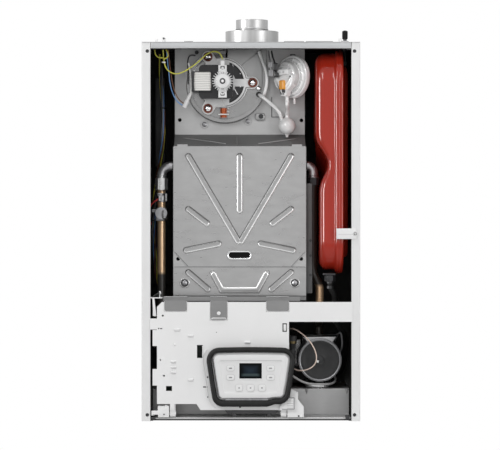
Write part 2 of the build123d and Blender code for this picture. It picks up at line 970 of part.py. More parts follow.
stack_middle = (stack_left + stack_width / 2, fan_z)
with BuildPart() as motor_stack:
    with BuildSketch(front_plane(stack_back)):
        with Locations(stack_middle):
            RectangleRounded(stack_width, stack_height, stack_corner)
        with Locations((fan_x, fan_z)):
            Circle(rotor_radius + rotor_gap, mode=Mode.SUBTRACT)
        with Locations((stack_left + yoke_width + window_width / 2, fan_z)):
            Rectangle(window_width, coil_height, mode=Mode.SUBTRACT)
    extrude(amount=stack_front - stack_back)
finish("motor_stack", motor_stack)

with BuildPart() as motor_coil:
    block((stack_left - coil_side, stack_left + yoke_width + window_width), (-coil_front, -coil_back),
          (fan_z - coil_height / 2, fan_z + coil_height / 2))
    fillet(motor_coil.edges().filter_by(Axis.Z), coil_corner)
    block((stack_left, stack_left + yoke_width), (-stack_front, -stack_back),
          (fan_z - coil_height, fan_z + coil_height), Mode.SUBTRACT)
    rod((choke_x, -scroll_depth - choke_radius, choke_z - choke_height / 2),
        (choke_x, -scroll_depth - choke_radius, choke_z + choke_height / 2), choke_radius)
finish("motor_coil", motor_coil)

with BuildPart() as bearing_bridge:
    block((fan_x - bridge_width / 2, fan_x + bridge_width / 2), (-bridge_front, -bridge_front + bridge_sheet),
          (fan_z - bridge_height / 2, fan_z + bridge_height / 2))
    for side in (-1, 1):
        block((fan_x - bridge_width / 2, fan_x + bridge_width / 2), (-bridge_front, -stack_front),
              (fan_z + side * bridge_height / 2, fan_z + side * (bridge_height / 2 - bridge_foot)))
    block((fan_x - bridge_tab_half, fan_x + bridge_tab_half),
          (-bridge_front, -bridge_front + bridge_tab_sheet),
          (fan_z + bridge_height / 2, fan_z + bridge_height / 2 + bridge_tab_rise))
    rod((fan_x, -bridge_front - sheet, fan_z), (fan_x, -stack_front, fan_z), shaft_radius + running_gap,
        Mode.SUBTRACT)
finish("bearing_bridge", bearing_bridge)

with BuildPart() as fan_rotor:
    rod((fan_x, -shaft_front, fan_z), (fan_x, -impeller_back, fan_z), shaft_radius)
    rod((fan_x, -stack_front, fan_z), (fan_x, -stack_back, fan_z), rotor_radius)
    rod((fan_x, -wheel_front, fan_z), (fan_x, -wheel_front + wheel_thickness, fan_z), wheel_disc_radius)
    with BuildSketch(front_plane(wheel_front - wheel_thickness)):
        with Locations((fan_x, fan_z)):
            with PolarLocations((wheel_disc_radius + wheel_radius - fin_root) / 2, wheel_fins):
                Rectangle(wheel_radius - wheel_disc_radius + fin_root, fin_thickness)
    extrude(amount=wheel_thickness)
finish("fan_rotor", fan_rotor)

with BuildPart() as fan_impeller:
    rod((fan_x, -impeller_front, fan_z), (fan_x, -impeller_front + impeller_disc, fan_z), impeller_radius,
        bore=shaft_radius)
    rod((fan_x, -impeller_back - impeller_disc, fan_z), (fan_x, -impeller_back, fan_z), impeller_radius,
        bore=impeller_radius - blade_length)
    with BuildSketch(front_plane(impeller_back + impeller_disc)):
        with Locations((fan_x, fan_z)):
            with PolarLocations(impeller_radius - blade_length / 2, impeller_blades):
                Rectangle(blade_length - blade_margin, blade_thickness, rotation=blade_angle)
    extrude(amount=impeller_front - impeller_back - 2 * impeller_disc)
finish("fan_impeller", fan_impeller)

# ---------------------------------------------------------------- air pressure switch
switch_axis = (-math.sin(math.radians(switch_turn)), -math.cos(math.radians(switch_turn)), 0)


def along_switch(distance):
    """A point on the switch's axis, this far in front of the disc's middle."""
    return (switch_x + switch_axis[0] * distance, -switch_depth + switch_axis[1] * distance, switch_z)


hub_end = switch_thickness / 2 + switch_hub_height
nipple_point = along_switch(switch_thickness / 2 + switch_hub_height / 2)
with BuildPart() as pressure_switch:
    rod(along_switch(-switch_thickness / 2), along_switch(switch_thickness / 2), switch_radius)
    rod(along_switch(switch_thickness / 2), along_switch(hub_end), switch_hub_radius)
    with BuildSketch(Plane(origin=along_switch(hub_end), x_dir=(0, 0, 1), z_dir=switch_axis)):
        RectangleRounded(switch_plug_height, switch_plug_width, switch_plug_corner)
    extrude(amount=switch_plug_length)
    nipple_low = switch_z - switch_hub_radius - nipple_length
    rod((nipple_point[0], nipple_point[1], switch_z), (nipple_point[0], nipple_point[1], nipple_low),
        nipple_radius)
    block((switch_x + switch_foot_offset, switch_x + switch_foot_offset + switch_foot_width),
          (-switch_depth - switch_foot_reach, -hood_front_depth - sheet),
          (switch_z - switch_foot_rise, switch_z + switch_foot_rise))
finish("pressure_switch", pressure_switch)

trap_top = trap_z + trap_radius
with BuildPart() as sensing_tubes:
    with Locations((trap_x, -trap_depth, trap_z)):
        Sphere(trap_radius)
    rod((trap_x, -trap_depth, trap_z), (trap_x, -trap_depth, trap_top + trap_neck), nipple_radius)
    lead("switch tube", [(nipple_point[0], nipple_point[1], nipple_low),
                         (nipple_point[0], nipple_point[1], nipple_low - 8),
                         (trap_x + 1, -trap_depth - 6, trap_top + trap_neck + 8),
                         (trap_x, -trap_depth, trap_top + trap_neck)], nipple_radius)
    lead("fan tube", [(14.2, -scroll_depth - seam, 614), (14.2, -scroll_depth - 8, 614), (22, -195, 602),
                      (36, -198, 586), (48, -198, 575), (56, -196, 563), (58, -192, 553)], fan_tube_radius)
    lead("silicone tube", [(15.1, -190, 682), (20, -194, 671), (26, -197, 659), (30, -198, 645),
                           (32, -198, 630), (31, -196, 617), (28, -190, 608), (27, -scroll_depth - 1, 605)],
         silicone_radius)
finish("sensing_tubes", sensing_tubes)

# ---------------------------------------------------------------- combustion chamber
cover_left = chamber_left + 1
cover_right = chamber_right - 1
sight_x = chamber_x + sight_offset
sight_z = chamber_split + sight_above_split
with BuildPart() as chamber_cover_upper:
    with BuildSketch(front_plane(chamber_depth - cover_sheet)):
        with BuildLine():
            Polyline((cover_left, chamber_top), (cover_right, chamber_top),
                     (cover_right, chamber_split + cover_chamfer_z),
                     (cover_right - cover_chamfer_x, chamber_split),
                     (cover_left + cover_chamfer_x, chamber_split),
                     (cover_left, chamber_split + cover_chamfer_z), close=True)
        make_face()
        for tab_x in (cover_left + cover_tab_inset, cover_right - cover_tab_inset):
            with Locations((tab_x, chamber_top + cover_tab_height / 2)):
                Rectangle(cover_tab_width, cover_tab_height)
    extrude(amount=cover_sheet)
    for ends in (long_rib, short_rib, low_rib):
        mirrored_ribs(*ends)
    rib((0, middle_rib[0]), (0, middle_rib[1]))
    with BuildSketch(front_plane(chamber_depth)):
        with Locations((sight_x, sight_z)):
            SlotOverall(sight_width + 2 * sight_rim, sight_opening + 2 * sight_rim)
    extrude(amount=rib_height)
    with BuildSketch(front_plane(chamber_depth - 2 * cover_sheet)):
        with Locations((sight_x, sight_z)):
            SlotOverall(sight_width, sight_opening)
    extrude(amount=rib_height + 3 * cover_sheet, mode=Mode.SUBTRACT)
finish("chamber_cover_upper", chamber_cover_upper)

cover_screws = [(cover_left + cover_screw_inset, cover_screw_height),
                (cover_right - cover_screw_inset, cover_screw_height)]
with BuildPart() as chamber_cover_lower:
    block((cover_left, cover_right), (-chamber_depth, -chamber_depth + cover_sheet),
          (chamber_bottom, chamber_split - seam))
    mirrored_ribs((-trough_top_half, trough_top), (-trough_bottom_half, trough_bottom))
    rib((-trough_bottom_half, trough_bottom), (trough_bottom_half, trough_bottom))
    mirrored_ribs(*corner_rib)
    for screw_x, screw_z in cover_screws:
        rod((screw_x, -chamber_depth - sheet, screw_z), (screw_x, -chamber_depth + 2 * sheet, screw_z),
            screw_shank_radius + running_gap, Mode.SUBTRACT)
finish("chamber_cover_lower", chamber_cover_lower)

with BuildPart() as sight_glass:
    with BuildSketch(front_plane(chamber_depth - cover_sheet - sight_glass_thickness)):
        with Locations((sight_x, sight_z)):
            RectangleRounded(sight_width + 2 * sight_glass_margin, sight_opening + 2 * sight_glass_margin,
                             sight_glass_margin)
    extrude(amount=sight_glass_thickness)
finish("sight_glass", sight_glass)

wall_front = chamber_depth - cover_sheet
with BuildPart() as chamber_walls:
    for x in ((chamber_left, chamber_left + sheet), (chamber_right - sheet, chamber_right)):
        block(x, (-wall_front, -chamber_back - sheet - seam), (chamber_bottom, chamber_top - sheet))
    rod((chamber_left - sheet, -pipe_depth, elbow_height), (chamber_right + sheet, -pipe_depth, elbow_height),
        elbow_radius + wall_hole_clearance, Mode.SUBTRACT)
    for x in ((chamber_left, cover_left + cover_chamfer_x + corner_overlap),
              (cover_right - cover_chamfer_x - corner_overlap, chamber_right)):
        block(x, (-wall_front, -wall_front + sheet),
              (chamber_split - corner_overlap, chamber_split + cover_chamfer_z + corner_overlap))
    for hole_x in (cover_left + corner_hole_inset, cover_right - corner_hole_inset):
        rod((hole_x, -wall_front - sheet, chamber_split + corner_hole_rise),
            (hole_x, -wall_front + 2 * sheet, chamber_split + corner_hole_rise), cover_hole_radius,
            Mode.SUBTRACT)
    block((chamber_left, chamber_right), (-chamber_back - sheet, -chamber_back),
          (chamber_bottom, chamber_top))
finish("chamber_walls", chamber_walls)

with BuildPart() as heat_exchanger:
    fin_step = (fin_block_right - fin_block_left - fin_sheet) / (fin_count - 1)
    for step in range(fin_count):
        fin_start = fin_block_left + step * fin_step
        block((fin_start, fin_start + fin_sheet), (-fin_block_front, -fin_block_back),
              (fin_block_bottom, fin_block_top))
    for step in range(tube_count):
        tube_y = -pipe_depth + step * tube_pitch
        rod((fin_block_left - tube_overhang, tube_y, elbow_height),
            (fin_block_right + tube_overhang, tube_y, elbow_height), tube_radius)
    for x in ((fin_block_left - header_gap - header_width, fin_block_left - header_gap),
              (fin_block_right + header_gap, fin_block_right + header_gap + header_width)):
        header_back = -pipe_depth + (tube_count - 1) * tube_pitch + header_margin
        block(x, (-pipe_depth - header_margin, header_back),
              (elbow_height - header_margin, elbow_height + header_margin))
    pipe([(fin_block_left - tube_overhang, -pipe_depth, elbow_height), (flow_x, -pipe_depth, elbow_height),
          (flow_x, -pipe_depth, elbow_end)], [flow_bend], elbow_radius)
    pipe([(fin_block_right + tube_overhang, -pipe_depth, elbow_height), (return_x, -pipe_depth, elbow_height),
          (return_x, -pipe_depth, elbow_end)], [return_bend], elbow_radius)
finish("heat_exchanger", heat_exchanger)

with BuildPart() as burner:
    blade_step = (burner_right - burner_left - burner_blade) / (blade_count - 1)
    for step in range(blade_count):
        blade_start = burner_left + step * blade_step
        block((blade_start, blade_start + burner_blade), (-burner_front, -burner_back),
              (burner_bottom, burner_top))
    for y in (-burner_front, -burner_back - rail_thickness):
        block((burner_left, burner_right), (y, y + rail_thickness),
              (burner_bottom, burner_bottom + rail_height))
    block((burner_left, burner_right), (-burner_front - manifold_depth, -burner_front),
          (burner_bottom - manifold_height / 2, burner_bottom + manifold_height / 2))
finish("burner", burner)

with BuildPart() as electrodes:
    electrode_foot = burner_bottom + manifold_height / 2
    electrode_top = electrode_foot + electrode_body + electrode_tip
    for place in electrode_offsets:
        electrode_x = chamber_x + place
        electrode_y = -burner_front - electrode_gap
        rod((electrode_x, electrode_y, electrode_foot),
            (electrode_x, electrode_y, electrode_foot + electrode_body), electrode_radius)
        rod((electrode_x, electrode_y, electrode_foot + electrode_body),
            (electrode_x, electrode_y, electrode_top), electrode_tip_radius)
        block((electrode_x - electrode_tip_radius, electrode_x + electrode_tip_radius),
              (electrode_y - electrode_tip_radius, -burner_front + electrode_gap),
              (electrode_top, electrode_top + electrode_tip_radius))
finish("electrodes", electrodes)

# ---------------------------------------------------------------- cross member
tabs = [(tab_left_x, tab_side_width, tab_side_drop), (tab_middle_x, tab_middle_width, tab_middle_drop),
        (tab_right_x, tab_side_width, tab_side_drop)]
with BuildPart() as cross_member:
    block((member_left, member_right), (-member_depth, -chamber_depth + member_reach),
          (member_bottom, member_bottom + sheet))
    block((member_left, member_right), (-member_depth, -member_depth + sheet),
          (member_bottom, member_bottom + member_height))
    block((chamber_left, chamber_right),
          (-chamber_depth + member_reach - member_web, -chamber_depth + member_reach),
          (member_bottom, chamber_bottom))
    for tab_x, tab_width, drop in tabs:
        span = (tab_x - tab_width / 2, tab_x + tab_width / 2)
        block(span, (-tab_depth, -member_depth), (member_bottom, member_bottom + sheet))
        with BuildSketch(front_plane(tab_depth - tab_sheet)):
            with Locations((tab_x, member_bottom - drop / 2)):
                tab_face = Rectangle(tab_width, drop)
            fillet(tab_face.vertices().group_by(Axis.Y)[0], tab_corner)
        extrude(amount=tab_sheet)
    rod((tab_middle_x, -tab_depth - sheet, member_bottom - tab_hole_drop),
        (tab_middle_x, -tab_depth + 2 * sheet, member_bottom - tab_hole_drop), tab_hole_radius,
        Mode.SUBTRACT)
finish("cross_member", cross_member)

# ---------------------------------------------------------------- expansion vessel
shell_half_depth = (vessel_front - vessel_back) / 2
shell_centre = -(vessel_front + vessel_back) / 2


def vessel_slab(start, end, reach, low=vessel_bottom, high=vessel_top, mode=Mode.ADD):
    """A rounded slab of the vessel between two X planes, larger all round by reach."""
    with BuildSketch(Plane.YZ.offset(start), mode=Mode.PRIVATE) as section:
        with Locations((shell_centre, (low + high) / 2)):
            RectangleRounded(2 * (shell_half_depth + reach), high - low + 2 * reach, vessel_corner + reach)
    extrude(section.sketch, amount=end - start, mode=mode)


with BuildPart() as expansion_vessel:
    vessel_slab(vessel_left, vessel_rim_left, 0)
    left_edges = expansion_vessel.faces().sort_by(Axis.X)[0].edges()
    fillet(left_edges, vessel_crown)
    rod((notch_x, -vessel_front - 1, notch_z), (notch_x, -vessel_back + 1, notch_z), notch_radius,
        Mode.SUBTRACT)
    block((vessel_left - 1, vessel_low_left), (-vessel_front - 1, -vessel_back + 1),
          (vessel_bottom - 1, notch_z), Mode.SUBTRACT)
    vessel_slab(vessel_rim_left, vessel_rim_right, rim_reach)
    vessel_slab(vessel_rim_right, vessel_right, -right_shell_inset)
    bay = notch_x + notch_radius + vessel_wall
    vessel_slab(vessel_left + vessel_wall, bay, -2 * vessel_wall, low=notch_z + notch_radius,
                mode=Mode.SUBTRACT)
    vessel_slab(vessel_low_left + vessel_wall, bay, -2 * vessel_wall, high=notch_low, mode=Mode.SUBTRACT)
    vessel_slab(bay, vessel_rim_right - vessel_wall, -2 * vessel_wall, mode=Mode.SUBTRACT)
finish("expansion_vessel", expansion_vessel)

with BuildPart() as vessel_clip:
    block((clip_left, clip_right + clip_tongue), (-casing_depth - clip_sheet, -casing_depth),
          (clip_bottom, clip_top))
    block((clip_left, clip_left + clip_sheet), (-casing_depth, -vessel_front - rim_reach),
          (clip_bottom, clip_top))
    block((clip_left, vessel_rim_right), (-vessel_front - rim_reach - clip_sheet, -vessel_front - rim_reach),
          (clip_bottom, clip_top))
    rod((clip_screw_x, -casing_depth - 2 * clip_sheet, clip_screw_z),
        (clip_screw_x, -casing_depth + clip_sheet, clip_screw_z), screw_shank_radius + running_gap,
        Mode.SUBTRACT)
finish("vessel_clip", vessel_clip)

fitting_face = vessel_bottom - rim_reach - fitting_plate_sheet
with BuildPart() as vessel_fittings:
    valve_foot = vessel_top - right_shell_inset
    rod((valve_x, -valve_depth, valve_foot), (valve_x, -valve_depth, valve_cap_top - valve_cap_cover),
        valve_stem_radius)
    hex_nut(valve_x, valve_depth, valve_foot, valve_foot + valve_nut_height, 2 * valve_cap_radius)
    rod((valve_x, -valve_depth, valve_cap_bottom), (valve_x, -valve_depth, valve_cap_top),
        valve_cap_radius)
    rod((valve_x, -valve_depth, casing_height), (valve_x, -valve_depth, casing_height + valve_base_height),
        valve_base_radius)
    block((fitting_x - fitting_plate, fitting_x + fitting_plate - fitting_plate_offset),
          (-fitting_depth - fitting_plate_reach, -fitting_depth + fitting_plate_reach),
          (fitting_face, vessel_bottom - rim_reach))
    hex_nut(fitting_x, fitting_depth, fitting_face - fitting_nut_height, fitting_face, fitting_nut_flats)
finish("vessel_fittings", vessel_fittings)

hose_top = fitting_face - fitting_nut_height
with BuildPart() as vessel_hose:
    lead("vessel hose", [(fitting_x, -fitting_depth, hose_top), (fitting_x, -fitting_depth, hose_top - 13),
                         (fitting_x + 9, -fitting_depth + 4, hose_top - 25),
                         (fitting_x + 10, -223, hose_top - 41), (fitting_x + 6, -211, hose_top - 58),
                         (fitting_x + 12, -196, hose_top - 78), (fitting_x + 28, -174, hose_top - 96),
                         (fitting_x + 32, -148, hose_top - 118), (fitting_x + 32, -124, hose_top - 142),
                         (fitting_x + 31, -105, hose_top - 160), (fitting_x + 25, -94, hose_top - 177),
                         (fitting_x + 17, -tail_depth, block_top - 15),
                         (right_block_end, -tail_depth, block_top - 15)], hose_radius)
finish("vessel_hose", vessel_hose)

# ---------------------------------------------------------------- pipes
flow_foot = (tail_places[0], -tail_depth, block_top)
with BuildPart() as flow_pipe:
    pipe([(flow_x, -pipe_depth, flow_nut_bottom), (flow_x, -pipe_depth, flow_turn_height),
          (flow_foot[0], flow_foot[1], flow_turn_height), flow_foot], [flow_pipe_bend] * 2, pipe_radius)
    hex_nut(flow_x, pipe_depth, flow_nut_bottom, elbow_end, nut_flats)
finish("flow_pipe", flow_pipe)

with BuildPart() as return_pipe:
    pipe([(return_x, -pipe_depth, return_nut_bottom), (return_x, -pipe_depth, return_jog_top),
          (pump_x, -pipe_depth, return_jog_bottom), (pump_x, -pipe_depth, return_slant_top),
          (pump_x, -neck_centre_depth, return_slant_bottom), (pump_x, -neck_centre_depth, neck_top)],
         [return_jog_bend, return_jog_bend, return_slant_bend, return_foot_bend], pipe_radius)
    hex_nut(return_x, pipe_depth, return_nut_bottom, elbow_end, nut_flats - 2)
finish("return_pipe", return_pipe)

clip_bore = pipe_radius + running_gap
with BuildPart() as pipe_sensors:
    clip_y = -pipe_depth - pipe_radius - clip_stand
    rod((flow_x, -pipe_depth, sensor_bottom), (flow_x, -pipe_depth, sensor_bottom + sensor_height),
        pipe_radius + sensor_band, bore=clip_bore)
    block((flow_x - sensor_plug_left, flow_x + sensor_plug_right), (clip_y - sensor_plug_length, clip_y),
          (sensor_plug_bottom, sensor_plug_bottom + sensor_plug_height))
    thermostat_top = thermostat_bottom + thermostat_height
    rod((flow_x, -pipe_depth, thermostat_bottom), (flow_x, -pipe_depth, thermostat_top),
        pipe_radius + thermostat_band, bore=clip_bore)
    rod((flow_x, clip_y, thermostat_disc), (flow_x, clip_y - thermostat_thickness, thermostat_disc),
        thermostat_radius)
finish("pipe_sensors", pipe_sensors)

# ---------------------------------------------------------------- pump
with BuildPart() as pump_housing:
    rod((pump_x, -pump_flange_depth, pump_z), (pump_x, -pump_back, pump_z), pump_case_radius)
    block((pump_x - neck_width / 2, pump_x + neck_width / 2),
          (-neck_centre_depth - neck_depth / 2, -neck_centre_depth + neck_depth / 2), (pump_z, neck_top))
    rod((pump_x, -pump_flange_depth - 1, pump_z), (pump_x, -pump_back - pump_case_wall, pump_z),
        pump_impeller_radius + pump_rotor_gap, Mode.SUBTRACT)
finish("pump_housing", pump_housing)

with BuildPart() as pump_motor:
    rod((pump_x, -pump_front + pump_face_depth, pump_z), (pump_x, -pump_flange_depth, pump_z),
        pump_can_radius)
    rod((pump_x, -pump_front, pump_z), (pump_x, -pump_front + pump_ring_width, pump_z), pump_ring_radius)
    rod((pump_x, -pump_front - 1, pump_z), (pump_x, -pump_front + pump_face_depth, pump_z),
        pump_face_radius, Mode.SUBTRACT)
    rod((pump_x, -pump_shaft_front, pump_z), (pump_x, -pump_flange_depth + 1, pump_z),
        pump_rotor_radius + pump_rotor_gap, Mode.SUBTRACT)
finish("pump_motor", pump_motor)

with BuildPart() as pump_rotor:
    rod((pump_x, -pump_shaft_front + rotor_end_gap, pump_z),
        (pump_x, -pump_back - pump_case_wall - rotor_end_gap, pump_z), pump_shaft_radius)
    rod((pump_x, -pump_shaft_front + rotor_front_gap, pump_z),
        (pump_x, -pump_flange_depth - rotor_back_gap, pump_z), pump_rotor_radius)
    vane_back = pump_back + pump_case_wall + impeller_clearance
    vane_front = vane_back + impeller_thickness
    rod((pump_x, -vane_front - impeller_disc, pump_z), (pump_x, -vane_front, pump_z), pump_impeller_radius)
    with BuildSketch(front_plane(vane_back)):
        with Locations((pump_x, pump_z)):
            with PolarLocations((pump_impeller_radius + pump_shaft_radius) / 2, pump_vanes):
                Rectangle(pump_impeller_radius - pump_shaft_radius, vane_sheet)
    extrude(amount=impeller_thickness)
finish("pump_rotor", pump_rotor)

# ---------------------------------------------------------------- hydraulics
tail_radii = [heating_tail_radius, water_tail_radius, heating_tail_radius, water_tail_radius,
              heating_tail_radius]
with BuildPart() as hydraulic_block:
    for x, tails in (((left_block_start, left_block_end), (0, 1)),
                     ((right_block_start, right_block_end), (3, 4))):
        block(x, (-block_front, -block_back), (block_bottom, block_top))
        for tail in tails:
            tail_x = tail_places[tail]
            rod((tail_x, -tail_depth, tail_end), (tail_x, -tail_depth, block_top), tail_radii[tail])
            rod((tail_x, -tail_depth, tail_end - 1), (tail_x, -tail_depth, block_top - tail_bore_stop),
                tail_bore, Mode.SUBTRACT)
    block((relief_x - boss_half_width, relief_x + boss_half_width),
          (-block_front - relief_boss, -block_front), (block_bottom, block_top))
    rod((relief_x, -block_front - relief_boss - 1, relief_z),
        (relief_x, -block_front + relief_seat, relief_z), relief_stem_radius + running_gap, Mode.SUBTRACT)
    block((tap_x - boss_half_width, tap_x + boss_half_width), (-tap_depth - boss_half_width, -block_front),
          (block_bottom, tap_block_top))
    rod((tap_x, -tap_depth, block_bottom - 1), (tap_x, -tap_depth, tap_block_top + 1),
        tap_stem_radius + running_gap, Mode.SUBTRACT)
finish("hydraulic_block", hydraulic_block)

with BuildPart() as plate_exchanger:
    exchanger_front = block_back - seam
    plate_count = int((exchanger_front - exchanger_back) / exchanger_pitch)
    for step in range(plate_count):
        plate_start = exchanger_back + step * exchanger_pitch
        block((-exchanger_half_width, exchanger_half_width), (-plate_start - exchanger_plate, -plate_start),
              (exchanger_bottom, exchanger_top))
    core_half = exchanger_half_width - exchanger_core_inset
    block((-core_half, core_half),
          (-exchanger_back - plate_count * exchanger_pitch + exchanger_core_bite, -exchanger_back),
          (exchanger_bottom + exchanger_core_inset, exchanger_top - exchanger_core_inset))
finish("plate_exchanger", plate_exchanger)

with BuildPart() as diverter_motor:
    block((diverter_x - diverter_side / 2, diverter_x + diverter_side / 2),
          (-diverter_depth - diverter_side / 2, -diverter_depth + diverter_side / 2),
          (diverter_bottom, diverter_top))
    fillet(diverter_motor.edges().filter_by(Axis.Z), diverter_corner)
    rod((diverter_x, -diverter_post_depth, tap_block_top),
        (diverter_x, -diverter_post_depth, diverter_bottom), diverter_post_radius)
    rod((diverter_x, -spindle_depth, diverter_bottom - 1),
        (diverter_x, -spindle_depth, diverter_bottom + spindle_guide), spindle_radius + running_gap,
        Mode.SUBTRACT)
finish("diverter_motor", diverter_motor)

with BuildPart() as diverter_spindle:
    rod((diverter_x, -spindle_depth, spindle_tip),
        (diverter_x, -spindle_depth, diverter_bottom + spindle_guide - seam), spindle_radius)
finish("diverter_spindle", diverter_spindle)

with BuildPart() as gas_valve:
    block((-valve_half_width, valve_half_width), (-valve_front, -valve_back), (valve_bottom, valve_top))
    gas_x = tail_places[2]
    rod((gas_x, -tail_depth, tail_end), (gas_x, -tail_depth, valve_bottom + 1), tail_radii[2])
    rod((gas_x, -tail_depth, tail_end - 1), (gas_x, -tail_depth, valve_bottom - tail_bore_stop),
        tail_bore, Mode.SUBTRACT)
    manifold_y = -burner_front - manifold_depth / 2
    manifold_low = burner_bottom - manifold_height / 2
    pipe([(chamber_x, -gas_pipe_depth, valve_top - gas_pipe_bite), (chamber_x, -gas_pipe_depth, gas_bend_low),
          (chamber_x, manifold_y, gas_bend_high), (chamber_x, manifold_y, manifold_low)],
         [gas_low_bend, gas_high_bend], gas_pipe_radius)
finish("gas_valve", gas_valve)


def fluted_knob(centre, axis_plane, radius, length):
    """A round knob with flutes around its rim."""
    with BuildSketch(axis_plane, mode=Mode.PRIVATE) as section:
        with Locations(centre):
            Circle(radius)
            with PolarLocations(radius + flute_rise, knob_flutes):
                Circle(flute_radius, mode=Mode.SUBTRACT)
    extrude(section.sketch, amount=length)


with BuildPart() as relief_knob:
    fluted_knob((relief_x, relief_z), front_plane(relief_knob_front - relief_knob_length),
                relief_knob_radius, relief_knob_length)
    rod((relief_x, -relief_knob_front + 1, relief_z), (relief_x, -block_front + relief_seat - 1, relief_z),
        relief_stem_radius)
finish("relief_knob", relief_knob)

with BuildPart() as filling_tap:
    fluted_knob((tap_x, -tap_depth), Plane.XY.offset(tap_knob_top - tap_knob_height), tap_knob_radius,
                tap_knob_height)
    rod((tap_x, -tap_depth, tap_knob_top - 1), (tap_x, -tap_depth, tap_block_top - 1), tap_stem_radius)
finish("filling_tap", filling_tap)

# ---------------------------------------------------------------- control box
with BuildPart() as control_cover:
    with BuildSketch(front_plane(plate_back)):
        with BuildLine():
            notch_top = box_bottom + foot_notch_height
            Polyline((box_left, box_top - cover_corner), (box_left + cover_corner, box_top),
                     (arm_right, box_top), (arm_right, arm_bottom), (box_right, arm_bottom),
                     (box_right, box_bottom), (foot_notch_right, box_bottom), (foot_notch_inner, notch_top),
                     (foot_notch_left, notch_top), (foot_notch_left, box_bottom), (left_ear, box_bottom),
                     (left_ear, notch_top), (box_left, notch_top), close=True)
        make_face()
        with Locations(((box_left - left_tab_reach) / 2, (left_tab_bottom + left_tab_top) / 2)):
            Rectangle(left_tab_reach + box_left, left_tab_top - left_tab_bottom)
        for strip_low, strip_high in (upper_strip, lower_strip):
            with Locations((box_left - strip_width / 2, (strip_low + strip_high) / 2)):
                Rectangle(strip_width, strip_high - strip_low)
        for tab_x, tab_width, drop in tabs:
            slot_top = box_top + 1
            slot_floor = member_bottom - drop - tab_gap
            with Locations((tab_x, (slot_top + slot_floor) / 2)):
                Rectangle(tab_width + 2 * tab_gap, slot_top - slot_floor, mode=Mode.SUBTRACT)
        with Locations(*[(box_left + x, z) for x, z in pin_holes]):
            Circle(pin_hole_radius, mode=Mode.SUBTRACT)
        with Locations((box_left + cable_slot[0], cable_slot[1])):
            Rectangle(cable_slot_width, cable_slot_height, mode=Mode.SUBTRACT)
        with Locations((box_left + catch_hole[0], catch_hole[1])):
            Rectangle(catch_width, catch_height, mode=Mode.SUBTRACT)
        with Locations(*[(box_left + x, z) for x, z in (left_tab_slit, fascia_slit)]):
            Rectangle(slit_length, slit_height, mode=Mode.SUBTRACT)
    extrude(amount=plate_sheet)
    block((knuckle_left, knuckle_right), (-plate_front - knuckle_proud, -plate_front),
          (box_bottom, fascia_bottom - seam))
    block((knuckle_right - knuckle_post, knuckle_right), (-plate_front - knuckle_proud, -plate_front),
          (box_bottom, knuckle_top))
    block((box_right, knuckle_right), (-plate_front, -plate_back), (box_bottom, knuckle_top))
finish("control_cover", control_cover)

tub_front = plate_back
ears = [(left_ear, left_ear + ear_width), (right_ear, right_ear + ear_width)]
with BuildPart() as control_base:
    block((tub_left, tub_right), (-tub_front, -tub_depth), (tub_bottom, tub_top))
    block((tub_left + tub_wall, tub_right - tub_wall), (-tub_front, -tub_depth - tub_wall),
          (tub_bottom + tub_wall, tub_top - tub_wall), Mode.SUBTRACT)
    for ear in ears:
        rod((ear[0], -pivot_depth, pivot_height), (ear[1], -pivot_depth, pivot_height), ear_radius)
        block(ear, (-pivot_depth - ear_radius, -pivot_depth + ear_radius), (pivot_height, ear_height))
        rod((ear[0] - 1, -pivot_depth, pivot_height), (ear[1] + 1, -pivot_depth, pivot_height),
            pivot_radius + running_gap, Mode.SUBTRACT)
finish("control_base", control_base)

with BuildPart() as box_brackets:
    block((bracket_left, left_ear - bracket_gap), (-bracket_front, -bracket_back),
          (floor_top, bracket_block_top))
    block((-opening_half, bracket_left), (-bracket_front, -bracket_back),
          (hinge_arm_bottom, bracket_heel))
    rod((left_ear - bracket_gap - 1, -pivot_depth, pivot_height),
        (left_ear + ear_width + 1, -pivot_depth, pivot_height), pivot_radius)
    with BuildSketch(front_plane(bracket_back)):
        with BuildLine():
            post_left = right_ear + ear_width + bracket_gap
            Polyline((post_left, floor_top), (bracket_right, floor_top), (bracket_right, bracket_shoulder),
                     (bracket_step_x, bracket_step_low), (bracket_step_x, bracket_step_high),
                     (bracket_peak_x, bracket_post_top), (post_left, bracket_heel), close=True)
        make_face()
    extrude(amount=bracket_front - bracket_back)
    rod((right_ear - 1, -pivot_depth, pivot_height), (post_left + 1, -pivot_depth, pivot_height),
        pivot_radius)
    latch_y = (-latch_front, -latch_back)
    block((-opening_half, latch_right), latch_y, (latch_bottom, latch_top))
    block((latch_tab_left, latch_tab_right), latch_y, (latch_bottom, latch_tab_top))
    block((latch_leg_left, latch_leg_right), latch_y, (latch_leg_bottom, latch_top))
finish("box_brackets", box_brackets)

with BuildPart() as main_board:
    block((tub_left + board_edge, tub_right - board_edge),
          (-main_board_depth, -main_board_depth + board_thickness), (main_board_bottom, main_board_top))
    for relay_x in relay_places:
        block((relay_x - relay_half, relay_x + relay_half),
              (-main_board_depth - relay_height, -main_board_depth), (relay_bottom, relay_top))
    block((transformer_left, transformer_right), (-main_board_depth - transformer_height, -main_board_depth),
          (transformer_bottom, transformer_top))
    for post_x in (tub_left + 2 * board_edge, tub_right - 2 * board_edge):
        for post_z in (main_board_bottom + board_edge, main_board_top - board_edge):
            rod((post_x, -main_board_depth + board_thickness, post_z),
                (post_x, -tub_depth - tub_wall, post_z), board_post_radius)
finish("main_board", main_board)


